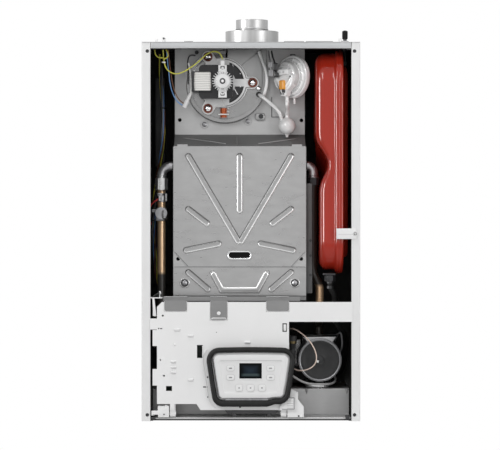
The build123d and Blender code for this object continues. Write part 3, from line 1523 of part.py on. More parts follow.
def fascia_outline(depth, inset):
    """The fascia's rounded trapezoid with a crowned top edge, shrunk by inset."""
    with BuildSketch(front_plane(depth), mode=Mode.PRIVATE) as section:
        with BuildLine():
            ThreePointArc((fascia_x - fascia_top_half, fascia_top - fascia_crown), (fascia_x, fascia_top),
                          (fascia_x + fascia_top_half, fascia_top - fascia_crown))
            Polyline((fascia_x + fascia_top_half, fascia_top - fascia_crown),
                     (fascia_x + fascia_bottom_half, fascia_bottom),
                     (fascia_x - fascia_bottom_half, fascia_bottom),
                     (fascia_x - fascia_top_half, fascia_top - fascia_crown))
        make_face()
        fillet(section.vertices().group_by(Axis.Y)[-1], fascia_top_corner)
        fillet(section.vertices().group_by(Axis.Y)[0], fascia_bottom_corner)
        if inset:
            offset(amount=-inset)
    return section.sketch


with BuildPart() as fascia_gasket:
    extrude(fascia_outline(plate_front, 0), amount=gasket_front - plate_front)
    extrude(fascia_outline(plate_front - 1, gasket_width), amount=gasket_front - plate_front + 2,
            mode=Mode.SUBTRACT)
finish("fascia_gasket", fascia_gasket)

buttons = [(side * side_button_x + display_x, z, side_button) for side in (-1, 1) for z in side_button_z]
buttons += [(step * low_button_x + display_x, low_button_z, low_button) for step in (-1, 0, 1)]
with BuildPart() as fascia:
    extrude(fascia_outline(plate_front, gasket_width + running_gap), amount=fascia_front - plate_front)
    fillet(fascia.faces().sort_by(Axis.Y)[0].edges(), fascia_round)
    extrude(fascia_outline(plate_front - 1, gasket_width + fascia_wall),
            amount=fascia_front - fascia_wall - plate_front + 1, mode=Mode.SUBTRACT)
    with BuildSketch(front_plane(fascia_front - 2 * fascia_wall)):
        with Locations((display_x, display_z)):
            Rectangle(display_width + 2 * fascia_gap, display_height + 2 * fascia_gap)
        for button_x, button_z, size in buttons:
            with Locations((button_x, button_z)):
                RectangleRounded(size[0] + 2 * button_gap, size[1] + 2 * button_gap,
                                 button_corner + button_gap)
    extrude(amount=3 * fascia_wall, mode=Mode.SUBTRACT)
finish("fascia", fascia)

button_stop = fascia_front - fascia_wall - button_gap
button_back = button_stop - button_flange
with BuildPart() as display_board:
    block((-board_half_width, board_half_width), (-board_depth - board_thickness, -board_depth),
          (board_bottom, board_top))
    board_face = board_depth + board_thickness
    block((display_x - display_width / 2, display_x + display_width / 2),
          (-fascia_front + 1, -board_face), (display_z - display_height / 2, display_z + display_height / 2))
    for button_x, button_z, size in buttons:
        rod((button_x, -board_face, button_z),
            (button_x, -button_back + button_travel + button_gap, button_z), key_post_radius)
    for post_x in (-board_post_x, board_post_x):
        for post_z in (board_post_low, board_post_high):
            rod((post_x, -plate_front, post_z), (post_x, -board_depth, post_z), board_post_radius)
finish("display_board", display_board)

for number, (button_x, button_z, size) in enumerate(buttons, 1):
    with BuildPart() as button:
        with BuildSketch(front_plane(button_stop)):
            with Locations((button_x, button_z)):
                RectangleRounded(size[0], size[1], button_corner)
        extrude(amount=fascia_front + button_proud - button_stop)
        fillet(button.faces().sort_by(Axis.Y)[0].edges(), button_round)
        with BuildSketch(front_plane(button_back)):
            with Locations((button_x, button_z)):
                RectangleRounded(size[0] + 2 * button_flange, size[1] + 2 * button_flange, button_corner)
        extrude(amount=button_flange)
    finish(f"button_{number}", button)

# ---------------------------------------------------------------- screws
with BuildPart() as screws:
    heads = [(x, z, chamber_depth) for x, z in cover_screws]
    heads += [(x, z, hood_front_depth) for x, z in fan_screw_places]
    heads += [(clip_screw_x, clip_screw_z, casing_depth + clip_sheet)]
    heads += [(x, z, plate_face + grommet_flange) for x, z in lobe_places]
    for screw_x, screw_z, seat in heads:
        rod((screw_x, -seat, screw_z), (screw_x, -seat - screw_head_height, screw_z), screw_head_radius)
        rod((screw_x, -seat, screw_z), (screw_x, -seat + screw_shank_length, screw_z), screw_shank_radius)
finish("screws", screws)

# ---------------------------------------------------------------- wiring
with BuildPart() as wiring_loom:
    lead("earth lead", [(-162.1, -246, 682), (-161.5, -243, 668), (-159.5, -240, 654), (-153, -237, 643),
                        (-140, -235, 637), (-125, -235, 641), (-111, -236, 650), (-97, -238, 660),
                        (-85, -240, 672), (-73, -242, 679), (-62, -242, 679), (-54.5, -240, 673),
                        (fan_x, -bridge_front - 1.5, 665)], 1.4)
    lead("blue lead", [(-156, -232, 682), (-155, -225, 664), (-152.5, -217, 645), (-151, -212, 625),
                       (-147, -210, 607), (-140, -209, 592), (-131, -209, 583), (-124, -209, 580)], 1.2)
    lead("brown lead", [(-152.5, -234, 682), (-151.8, -227, 664), (-149, -219, 646), (-147, -215, 628),
                        (-143, -212, 610), (-136.5, -211, 596), (-129, -211, 587), (-122.5, -211, 584)], 1.2)
    rod((-124.3, -210, 578), (-112, -212, 602.5), 3.6)
    lead("white lead", [(-112, -212, 602.5), (-110.5, -212, 612), (-110.5, -212, 624), (-111.5, -211.5, 636),
                        (-113.5, -211, 648), (-116, -210, 660)], 1.6)
    lead("loom", [(-172, -120, 682), (-171, -122, 640), (-167, -129, 598), (-165, -134, 556),
                  (-166, -138, 514), (-172, -136, 472), (-180, -130, 430), (-184, -126, 388),
                  (-184, -124, 346), (-182, -124, 304), (-178, -126, 262), (-168, -131, 226),
                  (-148, -139, 202), (-120, -147, 186), (-99, -150, 170), (diverter_x, -150, 155),
                  (diverter_x, -150, diverter_top)], 4)
    lead("gauge capillary", [(valve_half_width + seam, -150, 148), (51, -151, 149), (60, -174, 158),
                             (70, -200, 166), (80, -219, 167), (93, -227, 159), (108, -228, 146),
                             (119, -228, 128), (122.5, -228, 110), (116, -228, 97), (102, -228, 90),
                             (87, -224, 89), (78, -208, 93), (73, -186, 99), (69, -164, 103),
                             (65, -143, 102), (relief_x, -126, 97), (relief_x, -126, block_top)], 1.1)
    lead("pump lead", [(valve_half_width + seam, -165, 100), (50, -166, 100), (59, -181, 96),
                       (66, -198, 90), (71, -210, 84), (82, -221, 76), (96, -225, 68), (112, -225, 64),
                       (130, -221, 64), (145, -212, 63), (155, -199, 65), (159, -186, 72),
                       (155.6, -178, 78.6)], 2.2)
    lead("sensor lead", [(flow_x - 2, -204.5, 409), (-175, -204.5, 407), (-183, -196, 400), (-188, -184, 392),
                         (-190, -170, 382), (-190, -154, 371), (-188, -140, 360)], 1.0)
finish("wiring_loom", wiring_loom)

for name, piece in parts.items():
    export_step(piece, f"parts/{name}.step")
print(len(parts), "pieces")
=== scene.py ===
"""A wall-hung combi boiler with its front cover off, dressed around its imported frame.

Lengths in this file are millimetres unless a name or a docstring says otherwise.
"""

import bpy
import numpy as np
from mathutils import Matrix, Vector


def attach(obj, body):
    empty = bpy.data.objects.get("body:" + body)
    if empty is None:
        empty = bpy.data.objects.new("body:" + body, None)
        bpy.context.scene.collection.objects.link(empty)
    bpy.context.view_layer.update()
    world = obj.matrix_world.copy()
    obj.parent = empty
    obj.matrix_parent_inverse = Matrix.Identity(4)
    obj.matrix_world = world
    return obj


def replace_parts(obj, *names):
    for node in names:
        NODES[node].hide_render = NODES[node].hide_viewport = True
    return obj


bl_info = {
    "name": "Open combi boiler",
    "version": (1, 0, 0),
    "blender": (4, 5, 0),
    "location": "3D View > Sidebar > Boiler",
    "description": "Dresses the frame of a wall-hung boiler with pressed, wound, moulded and wired detail",
    "category": "Object",
}

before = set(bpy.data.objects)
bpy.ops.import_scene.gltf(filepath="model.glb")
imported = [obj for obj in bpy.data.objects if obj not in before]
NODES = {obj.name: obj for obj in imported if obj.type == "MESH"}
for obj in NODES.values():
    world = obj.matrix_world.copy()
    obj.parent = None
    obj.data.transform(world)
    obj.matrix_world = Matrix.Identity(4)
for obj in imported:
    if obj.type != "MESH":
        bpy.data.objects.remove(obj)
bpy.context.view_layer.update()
MM = 0.001
CHASSIS, CONTROL = "chassis", "control_box"
CASING_WIDTH, CASING_DEPTH, CASING_HEIGHT = 400.0, 280.0, 694.0
TOWARDS, UP = (0.0, -1.0, 0.0), np.array([0.0, 0.0, 1.0])
POINTS_PER_SPAN = 8
FINISHES = {}


# ------------------------------------------------------------------ surfaces

def full_turn(count):
    """Angles evenly round a circle, the last one short of the first."""
    return np.linspace(0, 2 * np.pi, count, endpoint=False)


def round_edge(edge, front, steps=4):
    """Profile of a quarter round that ends at the front: (distance inwards, depth) for each ring."""
    return [(edge * (1 - np.cos(a)), front - edge * (1 - np.sin(a)))
            for a in np.linspace(0, np.pi / 2, steps)]


def distances(path):
    """How far along the path each of its points lies."""
    return np.concatenate([[0.0], np.cumsum(np.linalg.norm(np.diff(path, axis=0), axis=1))])


def square_to(axis):
    """The unit vector of an axis and two more, square to it and to each other."""
    axis = np.asarray(axis, float) / np.linalg.norm(axis)
    across = np.cross(axis, UP if abs(axis[2]) < 0.9 else [1.0, 0.0, 0.0])
    across /= np.linalg.norm(across)
    return axis, across, np.cross(axis, across)


def shell(name, rings, finish, body=CHASSIS, loop=False, sharp=40.0, along=None):
    """A closed skin over a grid of points: each ring joins the next, and the two end rings are filled.

    rings holds (ring, point, xyz) in millimetres. With loop, the last ring joins the first. The
    enclosed volume, the sum of a.(b x c) over all triangles, gives the side that faces outwards.
    With along, a value for each ring or each point, the skin carries it, and with it the cosine of
    each point's place round its ring, for its finish to read.
    """
    rings = np.asarray(rings, float) * MM
    count, around = rings.shape[:2]
    grid = np.arange(count * around).reshape(count, around)
    walk = np.vstack([grid, grid[:1]]) if loop else grid
    near, far = walk[:-1], walk[1:]
    quads = np.stack([near, np.roll(near, -1, 1), np.roll(far, -1, 1), far], -1).reshape(-1, 4)
    corners = rings.reshape(-1, 3)
    a, b, c, d = corners[quads].transpose(1, 0, 2)
    volume = np.sum(a * np.cross(b, c)) + np.sum(a * np.cross(c, d))
    faces = quads.tolist()
    if not loop:
        for cap in (grid[0][::-1], grid[-1]):
            lid = corners[cap]
            volume += np.sum(lid[0] * np.cross(lid[1:-1], lid[2:]))
            faces.append(cap.tolist())
    if volume < 0:
        faces = [face[::-1] for face in faces]
    mesh = bpy.data.meshes.new(name)
    mesh.from_pydata(corners.tolist(), [], faces)
    if along is not None:
        layer = mesh.attributes.new("along", "FLOAT", "POINT")
        levels = np.broadcast_to(np.asarray(along, float).reshape(count, -1), (count, around))
        layer.data.foreach_set("value", levels.ravel())
        layer = mesh.attributes.new("facing", "FLOAT", "POINT")
        layer.data.foreach_set("value", np.tile(np.cos(full_turn(around)), count))
    mesh.polygons.foreach_set("use_smooth", np.ones(len(faces), bool))
    mesh.set_sharp_from_angle(angle=np.radians(sharp))
    piece = bpy.data.objects.new(name, mesh)
    bpy.context.scene.collection.objects.link(piece)
    mesh.materials.append(FINISHES[finish])
    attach(piece, body)
    return piece


def rounded(points, radii, steps=6):
    """A closed outline with rounded corners: each corner is an arc tangent to its two sides.

    The arc is a cubic curve from radius / tan(half the inner angle) before the corner to as far after
    it, with its two pulls set as for a circle.
    """
    points = np.asarray(points, float)
    radii = np.broadcast_to(np.asarray(radii, float), (len(points),))[:, None]
    back = np.roll(points, 1, 0) - points
    ahead = np.roll(points, -1, 0) - points
    back /= np.linalg.norm(back, axis=1, keepdims=True)
    ahead /= np.linalg.norm(ahead, axis=1, keepdims=True)
    inner = np.arccos(np.clip(np.sum(back * ahead, 1), -1, 1))[:, None]
    reach = radii / np.tan(inner / 2)
    t = np.linspace(0, 1, steps)[None, :, None]
    start, end = (points + back * reach)[:, None], (points + ahead * reach)[:, None]
    middle = points[:, None]
    pull = (4 / 3 * np.tan((np.pi - inner) / 4) * radii / np.maximum(reach, 1e-9))[:, None]
    first, second = start + (middle - start) * pull, end + (middle - end) * pull
    arcs = (1 - t)**3 * start + 3 * (1 - t)**2 * t * first + 3 * (1 - t) * t**2 * second + t**3 * end
    return arcs.reshape(-1, 2)


def rectangle(left, right, low, high, radius, steps=6):
    """The outline of an upright rectangle with rounded corners."""
    return rounded([(left, low), (right, low), (right, high), (left, high)], radius, steps)


def centred(x, z, wide, high, radius, steps=6):
    """The outline of an upright rectangle with rounded corners about its middle."""
    return rectangle(x - wide / 2, x + wide / 2, z - high / 2, z + high / 2, radius, steps)


def with_sides(outline, steps, side):
    """A four-cornered outline, each corner of so many steps, with points added along its straight sides."""
    arcs = outline.reshape(4, steps, 2)
    runs = [np.vstack([arc, np.linspace(arc[-1], after[0], side)[1:-1]]) for arc,
            after in zip(arcs, np.roll(arcs, -1, 0))]
    return np.vstack(runs)


def circle(x, z, radius, count):
    """The outline of a circle."""
    turn = full_turn(count)
    return np.stack([x + radius * np.cos(turn), z + radius * np.sin(turn)], 1)


def slot(start, end, width):
    """The outline of a slot with round ends between two middles."""
    start, end = np.asarray(start, float), np.asarray(end, float)
    way = (end - start) / np.linalg.norm(end - start)
    side = np.array([-way[1], way[0]])
    turn = np.linspace(-np.pi / 2, np.pi / 2, 10)[:, None]
    nose = end + width / 2 * (np.cos(turn) * way + np.sin(turn) * side)
    tail = start - width / 2 * (np.cos(turn) * way + np.sin(turn) * side)
    return np.vstack([nose, tail])


def band(points, width, corner):
    """The outline of an open strip of constant width along a path with rounded corners and square ends."""
    points = np.asarray(points, float)
    way = np.diff(points, axis=0)
    way /= np.linalg.norm(way, axis=1, keepdims=True)
    side = np.stack([-way[:, 1], way[:, 0]], 1)
    joined = np.vstack([side[:1], side[:-1] + side[1:], side[-1:]])
    scale = np.concatenate([[1.0], 1 + np.sum(side[:-1] * side[1:], 1), [1.0]])[:, None]
    reach = joined / scale * width / 2
    outline = np.vstack([points + reach, (points - reach)[::-1]])
    ends = [0, len(points) - 1, len(points), 2 * len(points) - 1]
    radii = np.full(len(outline), float(corner))
    radii[ends] = width * 0.45
    return rounded(outline, radii, 8)


def inset(outline, distance):
    """An outline moved inwards: each point goes along the mean of its two sides' normals."""
    way = np.roll(outline, -1, 0) - outline
    way /= np.maximum(np.linalg.norm(way, axis=1, keepdims=True), 1e-9)
    normal = np.stack([-way[:, 1], way[:, 0]], 1)
    mean = normal + np.roll(normal, 1, 0)
    mean /= np.maximum(np.sum(mean * normal, 1, keepdims=True), 0.3)
    after = np.roll(outline, -1, 0)
    area = np.sum(outline[:, 0] * after[:, 1] - after[:, 0] * outline[:, 1])
    return outline + np.sign(area) * distance * mean


def facing(outline, depth):
    """An outline stood up in the plane at this distance from the wall, as (point, xyz)."""
    return np.stack([outline[:, 0], np.full(len(outline), -float(depth)), outline[:, 1]], 1)


def relief(name, outline, profile, finish, body=CHASSIS):
    """A pressed or moulded form over an outline: profile lists (distance inwards, depth) for each ring."""
    return shell(name, [facing(inset(outline, step), depth) for step, depth in profile], finish, body)


def slab(name, outline, back, front, edge, finish, body=CHASSIS):
    """A plate over an outline between two depths, its front edge rounded by a quarter circle."""
    return relief(name, outline, [(0.0, back)] + round_edge(edge, front), finish, body)


def brick(name, low, high, edge, finish, body=CHASSIS):
    """A block between two corners, rounded on its upright edges and at its back and front."""
    outline = rectangle(low[0], high[0], low[2], high[2], edge, 5)
    back = [(step, -high[1] - depth) for step, depth in round_edge(edge, 0.0)[::-1]]
    return relief(name, outline, back + round_edge(edge, -low[1]), finish, body)


def bricks(x, rows):
    """Blocks from a table of two corners, an edge and a finish by name, all of them moved along X."""
    for name, left, front, low, right, back, high, edge, finish in rows:
        brick(name, (x + left, front, low), (x + right, back, high), edge, finish)


def belted(inner, outer, level, half, belly):
    """Profile of a ring that is half as high each way from its level and bulges at the middle."""
    return [(inner, level - half), (outer, level - half), (outer + belly, level), (outer, level + half),
            (inner, level + half)]


def turned(name, centre, axis, profile, finish, count=64, body=CHASSIS, loop=False, sharp=40.0):
    """A surface of revolution: profile lists (radius, height along the axis)."""
    axis, across, over = square_to(axis)
    turn = full_turn(count)[None, :, None]
    profile = np.asarray(profile, float)
    radius, height = profile[:, :1, None], profile[:, 1:, None]
    rings = np.asarray(centre, float) + height * axis + radius * (np.cos(turn) * across + np.sin(turn) * over)
    return shell(name, rings, finish, body, loop, sharp)


def beaded(name, centre, axis, radius, height, bead, finish, points, count):
    """A round bead bent into a ring about an axis: bead is the radius of its section."""
    turn = full_turn(points)
    profile = np.stack([radius + bead * np.cos(turn), height + bead * np.sin(turn)], 1)
    return turned(name, centre, axis, profile, finish, count, loop=True, sharp=180)


def smooth_path(route):
    """Points read from the NURBS spline of order 3 that has the route's points as its control points."""
    curve = bpy.data.curves.new("route", "CURVE")
    curve.dimensions = "3D"
    spline = curve.splines.new("NURBS")
    spline.points.add(len(route) - 1)
    for point, place in zip(spline.points, route):
        point.co = (*place, 1.0)
    spline.order_u = 3
    spline.use_endpoint_u = True
    spline.resolution_u = POINTS_PER_SPAN
    holder = bpy.data.objects.new("route", curve)
    bpy.context.scene.collection.objects.link(holder)
    mesh = bpy.data.meshes.new_from_object(holder.evaluated_get(bpy.context.evaluated_depsgraph_get()))
    points = np.empty(len(mesh.vertices) * 3)
    mesh.vertices.foreach_get("co", points)
    bpy.data.objects.remove(holder)
    bpy.data.curves.remove(curve)
    bpy.data.meshes.remove(mesh)
    return points.reshape(-1, 3)


def tube(name, path, radius, finish, around=16, body=CHASSIS):
    """A round tube along a path: circles square to it, each turned as little as can be from the last."""
    path = np.asarray(path, float)
    steps = np.linalg.norm(np.diff(path, axis=0), axis=1)
    path = path[np.concatenate([[True], steps > 1e-4])]
    way = np.gradient(path, axis=0)
    way /= np.linalg.norm(way, axis=1, keepdims=True)
    side = np.cross(way[0], UP if abs(way[0][2]) < 0.9 else [1.0, 0.0, 0.0])
    sides = []
    for heading in way:
        side = side - heading * np.dot(side, heading)
        side = side / np.linalg.norm(side)
        sides.append(side)
    sides = np.array(sides)
    ups = np.cross(way, sides)
    turn = full_turn(around)[None, :, None]
    rings = path[:, None] + radius * (np.cos(turn) * sides[:, None] + np.sin(turn) * ups[:, None])
    return shell(name, rings, finish, body, sharp=60.0, along=distances(path))


def rod(name, start, end, radius, finish, around=8, body=CHASSIS, points=4):
    """A straight round bar between two places."""
    return tube(name, np.linspace(start, end, points), radius, finish, around, body)


def wire(name, route, radius, finish):
    """A wire or hose on the smooth line of its given route."""
    return tube(name, smooth_path(route), radius, finish, 12)


def lay(leads):
    """Lays the wires of a table that holds (radius, finish, route) by name."""
    for name, (radius, finish, route) in leads.items():
        wire(name, route, radius, finish)


# ------------------------------------------------------------------ materials

MIX_A, MIX_B, MIX_RESULT = 6, 7, 2
DISPLAY = (-21.2, 19.8), (79.0, 107.2)


def node_tree(name):
    """A new material with its shader, its links and Object coordinates."""
    material = bpy.data.materials.new(name)
    material.use_nodes = True
    tree = material.node_tree
    shader = tree.nodes["Principled BSDF"]
    place = tree.nodes.new("ShaderNodeTexCoord").outputs["Object"]
    return material, tree, shader, place


def noise(tree, place, scale, stretch=(1, 1, 1), detail=5.0):
    """A noise over Object coordinates; scale counts features per metre."""
    mapping = tree.nodes.new("ShaderNodeMapping")
    mapping.inputs["Scale"].default_value = stretch
    tree.links.new(place, mapping.inputs["Vector"])
    texture = tree.nodes.new("ShaderNodeTexNoise")
    texture.inputs["Scale"].default_value = scale
    texture.inputs["Detail"].default_value = detail
    texture.inputs["Roughness"].default_value = 0.55
    tree.links.new(mapping.outputs["Vector"], texture.inputs["Vector"])
    return texture.outputs["Fac"]


def ramp(tree, value, stops):
    """A colour ramp through (position, colour) stops."""
    node = tree.nodes.new("ShaderNodeValToRGB")
    elements = node.color_ramp.elements
    elements.remove(elements[1])
    elements[0].position, elements[0].color = stops[0][0], (*stops[0][1], 1)
    for position, colour in stops[1:]:
        elements.new(position).color = (*colour, 1)
    tree.links.new(value, node.inputs["Fac"])
    return node.outputs["Color"]


def spread(tree, value, low, high, start=0.3, end=0.7):
    """A value moved from one range to another."""
    node = tree.nodes.new("ShaderNodeMapRange")
    for socket, number in zip(("From Min", "From Max", "To Min", "To Max"), (start, end, low, high)):
        node.inputs[socket].default_value = number
    tree.links.new(value, node.inputs["Value"])
    return node.outputs["Result"]


def calculate(tree, operation, first, second=0.0):
    """One math node; each of its two values is a socket or a number."""
    node = tree.nodes.new("ShaderNodeMath")
    node.operation = operation
    for socket, value in zip(node.inputs, (first, second)):
        if isinstance(value, (int, float)):
            socket.default_value = value
        else:
            tree.links.new(value, socket)
    return node.outputs["Value"]


def blend_colours(tree, share, first, second):
    """A mix of two colours by a share; each colour is a socket or three numbers."""
    node = tree.nodes.new("ShaderNodeMix")
    node.data_type = "RGBA"
    tree.links.new(share, node.inputs["Factor"])
    for socket, colour in ((node.inputs[MIX_A], first), (node.inputs[MIX_B], second)):
        if isinstance(colour, tuple):
            socket.default_value = (*colour, 1)
        else:
            tree.links.new(colour, socket)
    return node.outputs[MIX_RESULT]


def bump(tree, shader, height, strength, distance=0.0002):
    """A bump of this height in the shader's normal; distance is in metres."""
    node = tree.nodes.new("ShaderNodeBump")
    node.inputs["Strength"].default_value = strength
    node.inputs["Distance"].default_value = distance
    tree.links.new(height, node.inputs["Height"])
    tree.links.new(node.outputs["Normal"], shader.inputs["Normal"])


def grey(level):
    """A colour with three equal channels."""
    return level, level, level


def toned(colour, amount):
    """A colour made lighter or darker by a share."""
    return tuple(min(1.0, channel * (1 + amount)) for channel in colour)


def clouded(tree, cloud, colour, darker, lighter=0.0):
    """A colour that goes with the cloud from a darker tone to a lighter one."""
    return ramp(tree, cloud, [(0.3, toned(colour, darker)), (0.7, toned(colour, lighter))])


def coat(tree, shader, colour, roughness):
    """Gives the shader a colour and a roughness, both of them sockets."""
    tree.links.new(colour, shader.inputs["Base Color"])
    tree.links.new(roughness, shader.inputs["Roughness"])


def surface(name, colour, roughness=0.5, metallic=0.0, variation=0.12, grain=25.0, stretch=(1, 1, 1),
            fine=900.0, grain_depth=0.15, gloss_variation=0.12, varnish=0.0, specular=0.5):
    """A finish with clouded colour, uneven gloss and a fine grain, all from noise on Object coordinates."""
    material, tree, shader, place = node_tree(name)
    cloud = noise(tree, place, grain, stretch)
    colours = ramp(tree, cloud, [
        (0.3, toned(colour, -variation)), (0.5, colour), (0.72, toned(colour, variation))])
    smear = noise(tree, place, grain * 2.3, stretch, detail=3.0)
    coat(tree, shader, colours,
         spread(tree, smear, roughness - gloss_variation / 2, roughness + gloss_variation / 2))
    bump(tree, shader, noise(tree, place, fine, stretch, detail=2.0), grain_depth)
    shader.inputs["Metallic"].default_value = metallic
    shader.inputs["Specular IOR Level"].default_value = specular
    if varnish:
        shader.inputs["Coat Weight"].default_value = varnish
        shader.inputs["Coat Roughness"].default_value = 0.06
    return material


def sheet_metal(name, colour, roughness=0.4, metallic=0.6, crest=None):
    """Zinc-coated sheet: large faint crystals and a rolling grain along X.

    With a crest colour, the piece's own along attribute paints light into the finish: 1 is the crest
    colour, 0 a dark tone and 0.5 plain sheet. It matches the light on the ribs in the photograph.
    """
    material, tree, shader, place = node_tree(name)
    crystals = tree.nodes.new("ShaderNodeTexVoronoi")
    crystals.inputs["Scale"].default_value = 70.0
    tree.links.new(place, crystals.inputs["Vector"])
    flat = tree.nodes.new("ShaderNodeRGBToBW")
    tree.links.new(crystals.outputs["Color"], flat.inputs["Color"])
    rolled = noise(tree, place, 30.0, (1, 1, 3), detail=2.0)
    mixed = calculate(tree, "ADD", calculate(tree, "MULTIPLY", flat.outputs["Val"], 0.1),
                      calculate(tree, "MULTIPLY", rolled, 0.9))
    colours = ramp(tree, mixed, [(0.25, toned(colour, -0.06)), (0.5, colour), (0.75, toned(colour, 0.06))])
    if crest:
        level = tree.nodes.new("ShaderNodeAttribute")
        level.attribute_name = "along"
        bright = spread(tree, level.outputs["Fac"], 0.0, 1.0, 0.5, 1.0)
        shaded = spread(tree, level.outputs["Fac"], 1.0, 0.0, 0.0, 0.5)
        colours = blend_colours(tree, shaded, blend_colours(tree, bright, colours, crest),
                                toned(colour, -0.8))
    coat(tree, shader, colours, spread(tree, mixed, roughness - 0.04, roughness + 0.04))
    bump(tree, shader, noise(tree, place, 500.0, (1, 1, 2), detail=1.0), 0.02)
    shader.inputs["Metallic"].default_value = metallic
    return material


def casing_paint(name, outside, inside):
    """White enamel outside and on the front flanges, a dark tone inside, told apart by place."""
    material, tree, shader, place = node_tree(name)
    split = tree.nodes.new("ShaderNodeSeparateXYZ")
    tree.links.new(place, split.inputs["Vector"])
    sideways = calculate(tree, "ABSOLUTE", split.outputs["X"])
    outer = calculate(tree, "GREATER_THAN", sideways, (CASING_WIDTH / 2 - 0.6) * MM)
    front = calculate(tree, "LESS_THAN", split.outputs["Y"], -(CASING_DEPTH - 0.6) * MM)
    above = calculate(tree, "GREATER_THAN", split.outputs["Z"], (CASING_HEIGHT - 0.6) * MM)
    white = calculate(tree, "MAXIMUM", calculate(tree, "MAXIMUM", outer, front), above)
    cloud = noise(tree, place, 9.0)
    enamel = clouded(tree, cloud, outside, -0.025, 0.02)
    dark = clouded(tree, cloud, inside, -0.3, 0.4)
    coat(tree, shader, blend_colours(tree, white, dark, enamel),
         spread(tree, noise(tree, place, 30.0), 0.34, 0.46))
    bump(tree, shader, noise(tree, place, 700.0, detail=2.0), 0.08)
    return material


def see_through(name, colour, roughness, transmission):
    """A clear soft plastic that lets a share of the light through, a little cloudy, with a bright skin."""
    material, tree, shader, place = node_tree(name)
    cloud = noise(tree, place, 60.0)
    coat(tree, shader, clouded(tree, cloud, colour, -0.06), spread(tree, cloud, roughness, roughness + 0.08))
    shader.inputs["Transmission Weight"].default_value = transmission
    shader.inputs["IOR"].default_value = 1.4
    shader.inputs["Coat Weight"].default_value = 0.7
    shader.inputs["Coat Roughness"].default_value = 0.04
    return material


def striped_sleeve(name, base, stripe, share):
    """Wire insulation with one stripe along it, read from the tube's own facing attribute."""
    material, tree, shader, place = node_tree(name)
    side = tree.nodes.new("ShaderNodeAttribute")
    side.attribute_name = "facing"
    line = calculate(tree, "GREATER_THAN", side.outputs["Fac"], share)
    cloud = noise(tree, place, 80.0)
    sleeve, mark = (clouded(tree, cloud, colour, -0.12, 0.1) for colour in (base, stripe))
    coat(tree, shader, blend_colours(tree, line, sleeve, mark), spread(tree, cloud, 0.32, 0.45))
    return material


def wound_tape(name, colour):
    """Tape wound round a coil: bands across, each with its edge in the bump."""
    material, tree, shader, place = node_tree(name)
    wave = tree.nodes.new("ShaderNodeTexWave")
    wave.bands_direction = "Z"
    wave.inputs["Scale"].default_value = 75.0
    wave.inputs["Distortion"].default_value = 1.6
    wave.inputs["Detail Scale"].default_value = 0.6
    tree.links.new(place, wave.inputs["Vector"])
    tree.links.new(ramp(tree, wave.outputs["Fac"], [
        (0.05, toned(colour, -0.25)), (0.3, colour), (0.8, toned(colour, 0.06))]),
                   shader.inputs["Base Color"])
    shader.inputs["Roughness"].default_value = 0.62
    bump(tree, shader, wave.outputs["Fac"], 0.5, 0.0006)
    return material


def laminated(name, colour):
    """Stacked sheet steel: thin lines across the stack's depth."""
    material, tree, shader, place = node_tree(name)
    wave = tree.nodes.new("ShaderNodeTexWave")
    wave.bands_direction = "Y"
    wave.inputs["Scale"].default_value = 300.0
    wave.inputs["Distortion"].default_value = 0.4
    tree.links.new(place, wave.inputs["Vector"])
    cloud = noise(tree, place, 40.0)
    mixed = calculate(tree, "MULTIPLY", wave.outputs["Fac"], cloud)
    stack = ramp(tree, mixed, [(0.1, toned(colour, -0.4)), (0.5, toned(colour, 0.6))])
    coat(tree, shader, stack, spread(tree, cloud, 0.28, 0.45))
    shader.inputs["Metallic"].default_value = 0.3
    bump(tree, shader, wave.outputs["Fac"], 0.3, 0.0003)
    return material


def between(tree, place, axis, low, high, soft=6.0):
    """1 where a coordinate lies between two limits in millimetres, falling to 0 over a soft edge outside."""
    split = tree.nodes.new("ShaderNodeSeparateXYZ")
    tree.links.new(place, split.inputs["Vector"])
    value = split.outputs[axis]
    above = spread(tree, value, 0.0, 1.0, (low - soft) * MM, low * MM)
    below = spread(tree, value, 1.0, 0.0, high * MM, (high + soft) * MM)
    return calculate(tree, "MULTIPLY", above, below)


def worn_copper(name, colour, dark, axis, low, high, outside, outside_metallic=0.0):
    """Drawn copper with long streaks and dark patches between two limits, another tone outside them: the
    steel of the exchanger's elbows, and painted shade on the flow and return pipes.
    """
    material, tree, shader, place = node_tree(name)
    streak = noise(tree, place, 120.0, (1, 1, 0.06), detail=4.0)
    patch = noise(tree, place, 12.0, detail=6.0)
    bright = clouded(tree, streak, colour, -0.15, 0.18)
    copper = blend_colours(tree, spread(tree, patch, 0.0, 0.7, 0.5, 0.75), bright, dark)
    steel_and_painted_shade = clouded(tree, patch, outside, -0.2, 0.2)
    coat(tree, shader, blend_colours(tree, between(tree, place, axis, low, high), steel_and_painted_shade, copper),
         spread(tree, streak, 0.26, 0.42))
    tree.links.new(spread(tree, between(tree, place, axis, low, high), outside_metallic, 0.7, 0.0, 1.0),
                   shader.inputs["Metallic"])
    return material


